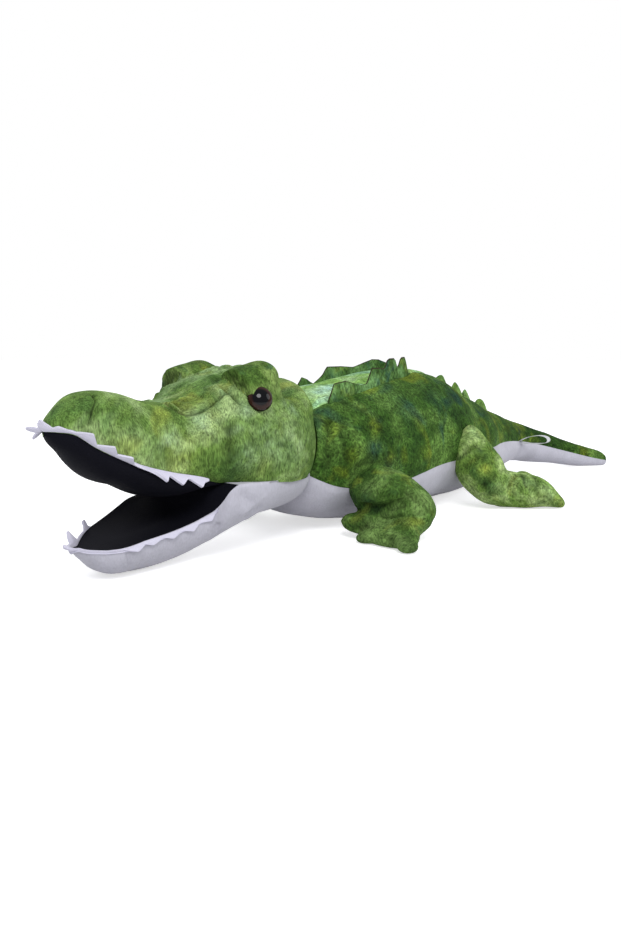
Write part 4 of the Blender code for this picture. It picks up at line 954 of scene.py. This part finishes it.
ARM_INK = (
    ((-0.149, -0.1033, 0.0439), 0.01, 0.9), ((-0.1361, -0.1078, 0.0365), 0.01, 0.9),
    ((-0.1435, -0.0835, 0.046), 0.01, 0.6))
ARM_PALE = (
    ((-0.1486, -0.1094, 0.0163), 0.012, 0.7), ((-0.1377, -0.1316, 0.0245), 0.012, 0.6),
    ((-0.1188, -0.1542, 0.0394), 0.01, 0.6), ((-0.1453, -0.1018, 0.0574), 0.008, 0.4),
    ((-0.165, -0.155, 0.008), 0.016, 0.7))
THIGH_INK = (
    ((0.0664, -0.1154, 0.0705), 0.007, 0.8), ((0.071, -0.123, 0.0631), 0.006, 0.7),
    ((0.07, -0.13, 0.025), 0.01, 0.7))
THIGH_SUN = (
    ((0.0647, -0.125, 0.0518), 0.007, 0.8), ((0.1128, -0.1748, 0.0207), 0.008, 0.8))
THIGH_PALE = (
    ((0.079, -0.1023, 0.0908), 0.012, 0.8), ((0.0936, -0.1435, 0.0304), 0.012, 0.7),
    ((0.1092, -0.16, 0.036), 0.012, 0.8), ((0.1155, -0.1765, 0.0225), 0.012, 0.8),
    ((0.0803, -0.1399, 0.0294), 0.01, 0.6))

# Folds of the cloth: places on the near side, how wide and how deep
ARM_FOLDS = (
    (((-0.144, -0.088, 0.035), (-0.1433, -0.0958, 0.0356), (-0.1411, -0.1089, 0.0343),
      (-0.1422, -0.1215, 0.037), (-0.1405, -0.132, 0.042), (-0.1353, -0.1402, 0.0471),
      (-0.1288, -0.1453, 0.0498)), 0.0046, 0.006),
    (((-0.1373, -0.1321, 0.0575), (-0.1338, -0.1391, 0.0538), (-0.1286, -0.1463, 0.0479),
      (-0.1241, -0.1517, 0.0399)), 0.0034, 0.0022),
    (((-0.1397, -0.1223, 0.0327), (-0.1386, -0.1332, 0.0369), (-0.1342, -0.142, 0.0392)), 0.0032, 0.0024),
    (((-0.1483, -0.0922, 0.0099), (-0.1498, -0.1006, 0.0154), (-0.1472, -0.1084, 0.019)), 0.005, 0.003),
    (((-0.1605, -0.1433, 0.0032), (-0.1621, -0.1443, 0.0096), (-0.1532, -0.1372, 0.0149)), 0.005, 0.0006))
THIGH_FOLDS = (
    (((0.0587, -0.0956, 0.0621), (0.0608, -0.1021, 0.0707), (0.066, -0.1083, 0.0766),
      (0.0719, -0.1143, 0.0764)), 0.0042, 0.0026),
    (((0.0577, -0.0979, 0.0482), (0.058, -0.1079, 0.0585), (0.0649, -0.117, 0.0644),
      (0.0733, -0.1243, 0.0641)), 0.004, 0.0018),
    (((0.0647, -0.1183, 0.0268), (0.0674, -0.1294, 0.0382), (0.0794, -0.1359, 0.0444)), 0.005, 0.002),
    (((0.108, -0.14, 0.045), (0.1049, -0.1441, 0.0409), (0.0933, -0.1448, 0.0341),
      (0.0867, -0.1433, 0.0229)), 0.004, 0.003),
    (((0.112, -0.147, 0.042), (0.1092, -0.1497, 0.0397), (0.1038, -0.1564, 0.0327),
      (0.1018, -0.1601, 0.025)), 0.0028, 0.002),
    (((0.126, -0.156, 0.041), (0.123, -0.1587, 0.0389), (0.1137, -0.1669, 0.0325),
      (0.1103, -0.1699, 0.0261)), 0.0028, 0.002))


def limb_tube(rows, centre, radius, flip):
    """One stuffed tube of a limb, along the rows' middles."""
    rows = np.array(rows, float)
    middles = np.stack([centre[0] + rows[:, 0] * radius, flip * (centre[1] + rows[:, 1] * radius),
                        centre[2] + rows[:, 2] * radius], axis=1)
    lengths = np.linalg.norm(np.diff(middles, axis=0), axis=1)
    way = np.concatenate([[0], np.cumsum(lengths)])
    table = np.column_stack([way, rows[:, 3] * radius, rows[:, 4] * radius, middles])
    start, end = middles[0] - middles[1], middles[-1] - middles[-2]
    table = read_off(table, TUBE_SIDES)
    tube, ring, turn = stuffed_ball("tube", TUBE_SIDES, TUBE_SIDES)
    along = table[:, 0]
    middle = table[:, 3:6].copy()
    early, late = along < 0, along > way[-1]
    middle[early] = middles[0] + np.outer(-along[early], start / np.linalg.norm(start))
    middle[late] = middles[-1] + np.outer(along[late] - way[-1], end / np.linalg.norm(end))
    tangent = np.gradient(middle, axis=0)
    tangent /= np.maximum(np.linalg.norm(tangent, axis=1), 1e-9)[:, None]
    steep = abs(tangent[TUBE_SIDES // 2, 2]) >= 0.85
    upright = np.array((1.0, 0.0, 0.0) if steep else (0.0, 0.0, 1.0))
    side = np.cross(tangent, upright)
    side /= np.linalg.norm(side, axis=1)[:, None]
    up = np.cross(side, tangent)
    angle = turn / TUBE_SIDES * math.tau
    put(tube, middle[ring] + side[ring] * (table[ring, 1] * np.cos(angle))[:, None]
        - up[ring] * (table[ring, 2] * np.sin(angle))[:, None])
    return tube


def limb(name, tubes, centre, radius, flip):
    """The tubes made one skin, with soft hollows where they meet."""
    made = [limb_tube(rows, centre, radius, flip) for rows in tubes]
    deselect()
    for tube in made:
        tube.select_set(True)
    bpy.context.view_layer.objects.active = made[0]
    bpy.ops.object.join()
    leg = bpy.context.object
    leg.name = name
    leg.data.name = name
    bpy.ops.object.mode_set(mode="EDIT")
    bpy.ops.mesh.select_all(action="SELECT")
    bpy.ops.mesh.normals_make_consistent(inside=False)
    bpy.ops.object.mode_set(mode="OBJECT")
    skin = leg.modifiers.new("skin", "REMESH")
    skin.mode = "VOXEL"
    skin.voxel_size = LEG_GRAIN
    bpy.ops.object.modifier_apply(modifier=skin.name)
    even = leg.modifiers.new("even", "SMOOTH")
    even.factor = 0.5
    even.iterations = 7
    bpy.ops.object.modifier_apply(modifier=even.name)
    floor_rest(leg)
    return leg


front_leg_green = plush("front_leg_plush", (0.018, 0.050, 0.010), (0.062, 0.128, 0.024),
                        (0.130, 0.220, 0.060), (0.170, 0.215, 0.030), (0.010, 0.034, 0.014),
                        (480, 480, 300), 20, wander=1.6, bleach=(0.150, 0.235, 0.075))
hind_leg_green = plush("hind_leg_plush", (0.046, 0.108, 0.018), (0.155, 0.265, 0.052), (0.320, 0.440, 0.160),
                       (0.270, 0.320, 0.050), (0.020, 0.060, 0.020), (480, 480, 300), 22, wander=1.6,
                       bleach=(0.340, 0.500, 0.200))

# Body, cloth, tubes, middle and radius of the root, seed of its lumps, folds, patches of print
LEGS = (
    ("front_leg_", front_leg_green, (SHOULDER_ROOT, ARM, HAND, *FRONT_TOES), SHOULDER, SHOULDER_RADIUS, 6,
     ARM_FOLDS, {"dark_dye": ARM_INK, "pale_dye": ARM_PALE}),
    ("hind_leg_", hind_leg_green, (HIP_ROOT, FOOT, *HIND_TOE), HIP, HIP_RADIUS, 8,
     THIGH_FOLDS, {"dark_dye": THIGH_INK, "sunny_dye": THIGH_SUN, "pale_dye": THIGH_PALE}))
for flip, word in ((-1, "left"), (1, "right")):
    for body, cloth, tubes, centre, radius, seed, folds, prints in LEGS:
        leg = limb(body + word + "_plush", tubes, centre, radius, flip)
        plump(leg, 0.026, 0.0011, seed + flip)
        # Each fold also paints shade along its line
        for spots, width, depth in folds:
            crease(leg, np.array(spots) * (1, -flip, 1), width, depth)
        for name, spots in prints.items():
            dye(leg, name, [(np.array(spot) * (1, -flip, 1), *rest) for spot, *rest in spots])
        leg.data.materials.clear()
        leg.data.materials.append(cloth)
        smooth(leg)
        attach(leg, body + word)
        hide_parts(body + word + "_skin", body + word + "_stuffing")

# Scutes and tail ridge: double-sewn strips of green plush, caught in the two seams of the back and
# in the tail's top seam. Their crests rise to points, and the scutes' crests are turned over a thin brown
# edge.
CREST_RINGS = 220
CREST_AROUND = 16
CREST_SUNK = 0.006
SCUTE_THICKNESS = 0.0032
RIDGE_THICKNESS = 0.0056
# Along and height of the crest, on the near and the far row
NEAR_CREST = (
    (-0.129, 0.128), (-0.125, 0.14), (-0.116, 0.1545), (-0.1, 0.157), (-0.085, 0.1545), (-0.07, 0.1515),
    (-0.056, 0.152), (-0.052, 0.156), (-0.046, 0.169), (-0.033, 0.169), (-0.02, 0.1675), (-0.0168, 0.17),
    (-0.0142, 0.1768), (-0.0105, 0.1788), (0.004, 0.1788), (0.0078, 0.1765), (0.0102, 0.1712),
    (0.0122, 0.1685), (0.0148, 0.172), (0.0172, 0.178), (0.02, 0.1797), (0.03, 0.1797), (0.034, 0.1772),
    (0.0368, 0.17), (0.041, 0.162), (0.05, 0.159))
FAR_CREST = (
    (-0.08, 0.14), (-0.076, 0.15), (-0.071, 0.1575), (-0.06, 0.1545), (-0.049, 0.1495), (-0.034, 0.16),
    (-0.024, 0.1682), (0.0, 0.1682), (0.02, 0.1668), (0.036, 0.17), (0.052, 0.1755), (0.066, 0.175),
    (0.08, 0.17), (0.1, 0.16))
RIDGE_POINTS = (
    (0.174, 0.1515, 0.018), (0.214, 0.1405, 0.0135), (0.241, 0.1295, 0.011), (0.285, 0.114, 0.0125))
RIDGE_START, RIDGE_END = 0.158, 0.300


def crest_strip(name, x, root, top, thickness, material):
    """A stuffed strip whose section is a tall drop, from root places up to the crest's height."""
    strip, ring, turn = stuffed_ball(name, CREST_RINGS, CREST_AROUND)
    angle = turn / CREST_AROUND * math.tau
    low = root[ring, 1] - CREST_SUNK
    tall = np.maximum(top[ring] - low, 0.002)
    share = 0.5 + 0.5 * np.cos(angle)
    across = np.sin(angle) * thickness * (0.55 + 0.75 * (1 - share)) * np.clip(tall / 0.012, 0.2, 1)
    wave = 0.0012 * np.sin(x[ring] * 210) * share
    put(strip, np.stack([x[ring], root[ring, 0] + across + wave, low + tall * share], axis=1))
    mark(strip, "crest", share)
    strip.data.materials.append(material)
    smooth(strip)
    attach(strip, "trunk")
    return strip


crest_plush = plush("crest_plush", (0.020, 0.060, 0.012), (0.060, 0.130, 0.030), (0.120, 0.240, 0.080),
                    (0.150, 0.220, 0.040), (0.020, 0.070, 0.060), (420, 420, 200), 26,
                    edge=(0.035, 0.022, 0.016))
ridge_plush = plush("ridge_plush", (0.060, 0.140, 0.030), (0.110, 0.230, 0.050), (0.200, 0.350, 0.100),
                    (0.180, 0.280, 0.050), (0.060, 0.160, 0.080), (420, 420, 200), 30)
x, high, wide, middle, sideways, seam, row = trunk_rows.T
row_across, row_height = section(row_turn(row), wide, middle - high, middle + high, TRUNK_WIDEST)
for flip, word, profile in ((-1, "left", NEAR_CREST), (1, "right", FAR_CREST)):
    profile = np.array(profile)
    along = np.linspace(profile[0, 0], profile[-1, 0], CREST_RINGS + 1)
    root = np.stack([flip * np.interp(along, x, row_across), np.interp(along, x, row_height)], axis=1)
    top = np.interp(along, profile[:, 0], profile[:, 1])
    scutes = crest_strip("scute_row_" + word, along, root, top, SCUTE_THICKNESS, crest_plush)
    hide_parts("scutes_" + word)
along = np.linspace(RIDGE_START, RIDGE_END, CREST_RINGS + 1)
root = np.stack([0 * along, np.interp(along, x, middle + high)], axis=1)
top = root[:, 1] + 0.0010
for place, tip, half in RIDGE_POINTS:
    rise = tip - np.interp(place, along, root[:, 1])
    top += rise * np.clip(1 - ((along - place) / half) ** 2, 0, 1) ** 0.6
ridge = crest_strip("tail_ridge_strip", along, root, top, RIDGE_THICKNESS, ridge_plush)
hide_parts("tail_ridge")

# Label: a blank loop of white ribbon, both ends sewn into the tail's side seam.
LABEL_X = 0.341
LABEL_WIDTH = 0.011
LABEL_THICKNESS = 0.0004
LABEL_STEPS = 72
LABEL_SLANT = 0.12
# Outward from the tail's middle and height, from the upper end round the fold to the lower end
LABEL_LOOP = (
    (0.033, 0.05), (0.04, 0.0548), (0.05, 0.059), (0.064, 0.0615), (0.074, 0.0605), (0.079, 0.056),
    (0.0765, 0.0515), (0.066, 0.0496), (0.05, 0.049), (0.033, 0.0482))
loop = np.array(LABEL_LOOP)
way = np.concatenate([[0], np.cumsum(np.linalg.norm(np.diff(loop, axis=0), axis=1))])
fine = np.linspace(0, way[-1], LABEL_STEPS + 1)
loop = np.stack([np.interp(fine, way, loop[:, 0]), np.interp(fine, way, loop[:, 1])], axis=1)
for _ in range(12):
    loop[1:-1] = (loop[:-2] + loop[1:-1] * 2 + loop[2:]) / 4
deselect()
bpy.ops.mesh.primitive_grid_add(x_subdivisions=LABEL_STEPS, y_subdivisions=8, size=2)
label = bpy.context.object
label.name = "blank_label"
at = places(label)
step = np.rint((at[:, 0] + 1) * LABEL_STEPS / 2).astype(int)
x = LABEL_X + at[:, 1] * LABEL_WIDTH / 2 + loop[step, 0] * LABEL_SLANT
put(label, np.stack([x, -loop[step, 0], loop[step, 1]], axis=1))
thicken(label, LABEL_THICKNESS)
satin = Weave("label_satin", 0.42)
satin.shader.inputs["Base Color"].default_value = (0.62, 0.63, 0.66, 1)
satin.bump(satin.noise(1.0, 1.0, 0.5, satin.stretched((3000, 300, 300))), 0.0001)
label.data.materials.append(satin.material)
smooth(label)
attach(label, "trunk")
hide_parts("tail_label")

# Eyes: brown safety eyes with a black pupil under a clear glossy dome, pressed through the plush
# and locked behind it by washers.
EYE_PLACE = (-0.2575, 0.0612, 0.1472)
EYE_RADIUS = 0.0118
EYE_DOME = 0.0080
EYE_BACK = 0.0022
EYE_TILT = math.radians(20)
EYE_TURN = math.radians(40)

eye_gloss = Weave("brown_eye_gloss", 0.05)
eye_gloss.shader.inputs["Specular IOR Level"].default_value = 0.20
eye_gloss.link(eye_gloss.ramp(eye_gloss.kept("from_middle"), [
    (0.00, (0.002, 0.002, 0.003)), (0.60, (0.002, 0.002, 0.003)), (0.67, (0.018, 0.006, 0.004)),
    (0.86, (0.034, 0.012, 0.008)), (0.97, (0.008, 0.004, 0.003))]), eye_gloss.shader.inputs["Base Color"])
for flip, word in ((-1, "left"), (1, "right")):
    level = math.cos(EYE_TILT)
    out = Vector((-math.sin(EYE_TURN) * level, flip * math.cos(EYE_TURN) * level, math.sin(EYE_TILT)))
    middle = Vector(EYE_PLACE) * Vector((1, flip, 1))
    seat = Matrix.Translation(middle) @ out.to_track_quat("Z", "Y").to_matrix().to_4x4()
    deselect()
    bpy.ops.mesh.primitive_uv_sphere_add(segments=64, ring_count=40, radius=1)
    eye = bpy.context.object
    eye.name = "eye_" + word + "_dome"
    at = places(eye)
    shaped = at * (EYE_RADIUS, EYE_RADIUS, EYE_DOME)
    shaped[:, 2] = np.where(at[:, 2] < 0, at[:, 2] * EYE_BACK, shaped[:, 2])
    put(eye, shaped)
    mark(eye, "from_middle", np.linalg.norm(at[:, :2], axis=1))
    eye.data.transform(seat)
    eye.data.materials.append(eye_gloss.material)
    smooth(eye)
    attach(eye, "head")
    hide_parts("eye_" + word)

# Floor, backdrop, lamps and camera
deselect()
bpy.ops.mesh.primitive_plane_add(size=12, location=(0, 0, 0))
floor = bpy.context.object
floor.name = "floor"
pale = bpy.data.materials.new("pale_floor")
pale.use_nodes = True
tree = pale.node_tree
diffuse = tree.nodes["Principled BSDF"]
diffuse.inputs["Base Color"].default_value = (0.80, 0.80, 0.80, 1)
diffuse.inputs["Roughness"].default_value = 1.0
diffuse.inputs["Specular IOR Level"].default_value = 0.0
glow = tree.nodes.new("ShaderNodeEmission")
glow.inputs["Strength"].default_value = 0.62
seen = tree.nodes.new("ShaderNodeLightPath")
both = tree.nodes.new("ShaderNodeAddShader")
pick = tree.nodes.new("ShaderNodeMixShader")
most = tree.nodes.new("ShaderNodeMath")
most.operation = "MAXIMUM"
tree.links.new(seen.outputs["Is Camera Ray"], most.inputs[0])
tree.links.new(seen.outputs["Is Glossy Ray"], most.inputs[1])
tree.links.new(diffuse.outputs["BSDF"], both.inputs[0])
tree.links.new(glow.outputs["Emission"], both.inputs[1])
tree.links.new(most.outputs["Value"], pick.inputs["Fac"])
tree.links.new(diffuse.outputs["BSDF"], pick.inputs[1])
tree.links.new(both.outputs["Shader"], pick.inputs[2])
tree.links.new(pick.outputs["Shader"], tree.nodes["Material Output"].inputs["Surface"])
floor.data.materials.append(pale)

world = bpy.data.worlds.new("studio")
bpy.context.scene.world = world
world.use_nodes = True
tree = world.node_tree
lit = tree.nodes["Background"]
lit.inputs["Color"].default_value = (0.93, 0.96, 1.0, 1)
lit.inputs["Strength"].default_value = 0.55
white = tree.nodes.new("ShaderNodeBackground")
white.inputs["Color"].default_value = (1, 1, 1, 1)
white.inputs["Strength"].default_value = 1.0
seen = tree.nodes.new("ShaderNodeLightPath")
pick = tree.nodes.new("ShaderNodeMixShader")
tree.links.new(seen.outputs["Is Camera Ray"], pick.inputs["Fac"])
tree.links.new(lit.outputs["Background"], pick.inputs[1])
tree.links.new(white.outputs["Background"], pick.inputs[2])
tree.links.new(pick.outputs["Shader"], tree.nodes["World Output"].inputs["Surface"])


def lamp(name, place, aim, size, power):
    light = bpy.data.lights.new(name, "AREA")
    light.shape = "DISK"
    light.size = size
    light.energy = power
    item = bpy.data.objects.new(name, light)
    bpy.context.scene.collection.objects.link(item)
    item.location = place
    item.rotation_euler = (Vector(aim) - Vector(place)).to_track_quat("-Z", "Y").to_euler()


lamp("key_lamp", (-1.30, -1.10, 1.50), (-0.10, 0.0, 0.05), 0.9, 26)
lamp("fill_lamp", (0.9, -1.9, 1.2), (0.1, 0.0, 0.05), 1.4, 14)
lamp("back_lamp", (0.6, 1.6, 1.6), (0.0, 0.0, 0.1), 1.2, 14)

# The picture's height and the focal length in its pixels, and how far its horizon is over its middle
PICTURE_HEIGHT, FOCAL, HORIZON = 931, 900, 130.5
YAW = math.radians(51.7176)
PITCH = math.atan2(HORIZON, FOCAL)
forward = Vector((math.sin(YAW) * math.cos(PITCH), math.cos(YAW) * math.cos(PITCH), -math.sin(PITCH)))
camera_data = bpy.data.cameras.new("camera")
camera_data.sensor_width = 36
camera_data.lens = FOCAL * camera_data.sensor_width / PICTURE_HEIGHT
camera = bpy.data.objects.new("camera", camera_data)
bpy.context.scene.collection.objects.link(camera)
camera.location = (-0.87256, -0.60552, 0.205)
camera.rotation_euler = forward.to_track_quat("-Z", "Y").to_euler()
bpy.context.scene.camera = camera
bpy.context.scene.view_settings.view_transform = "Standard"
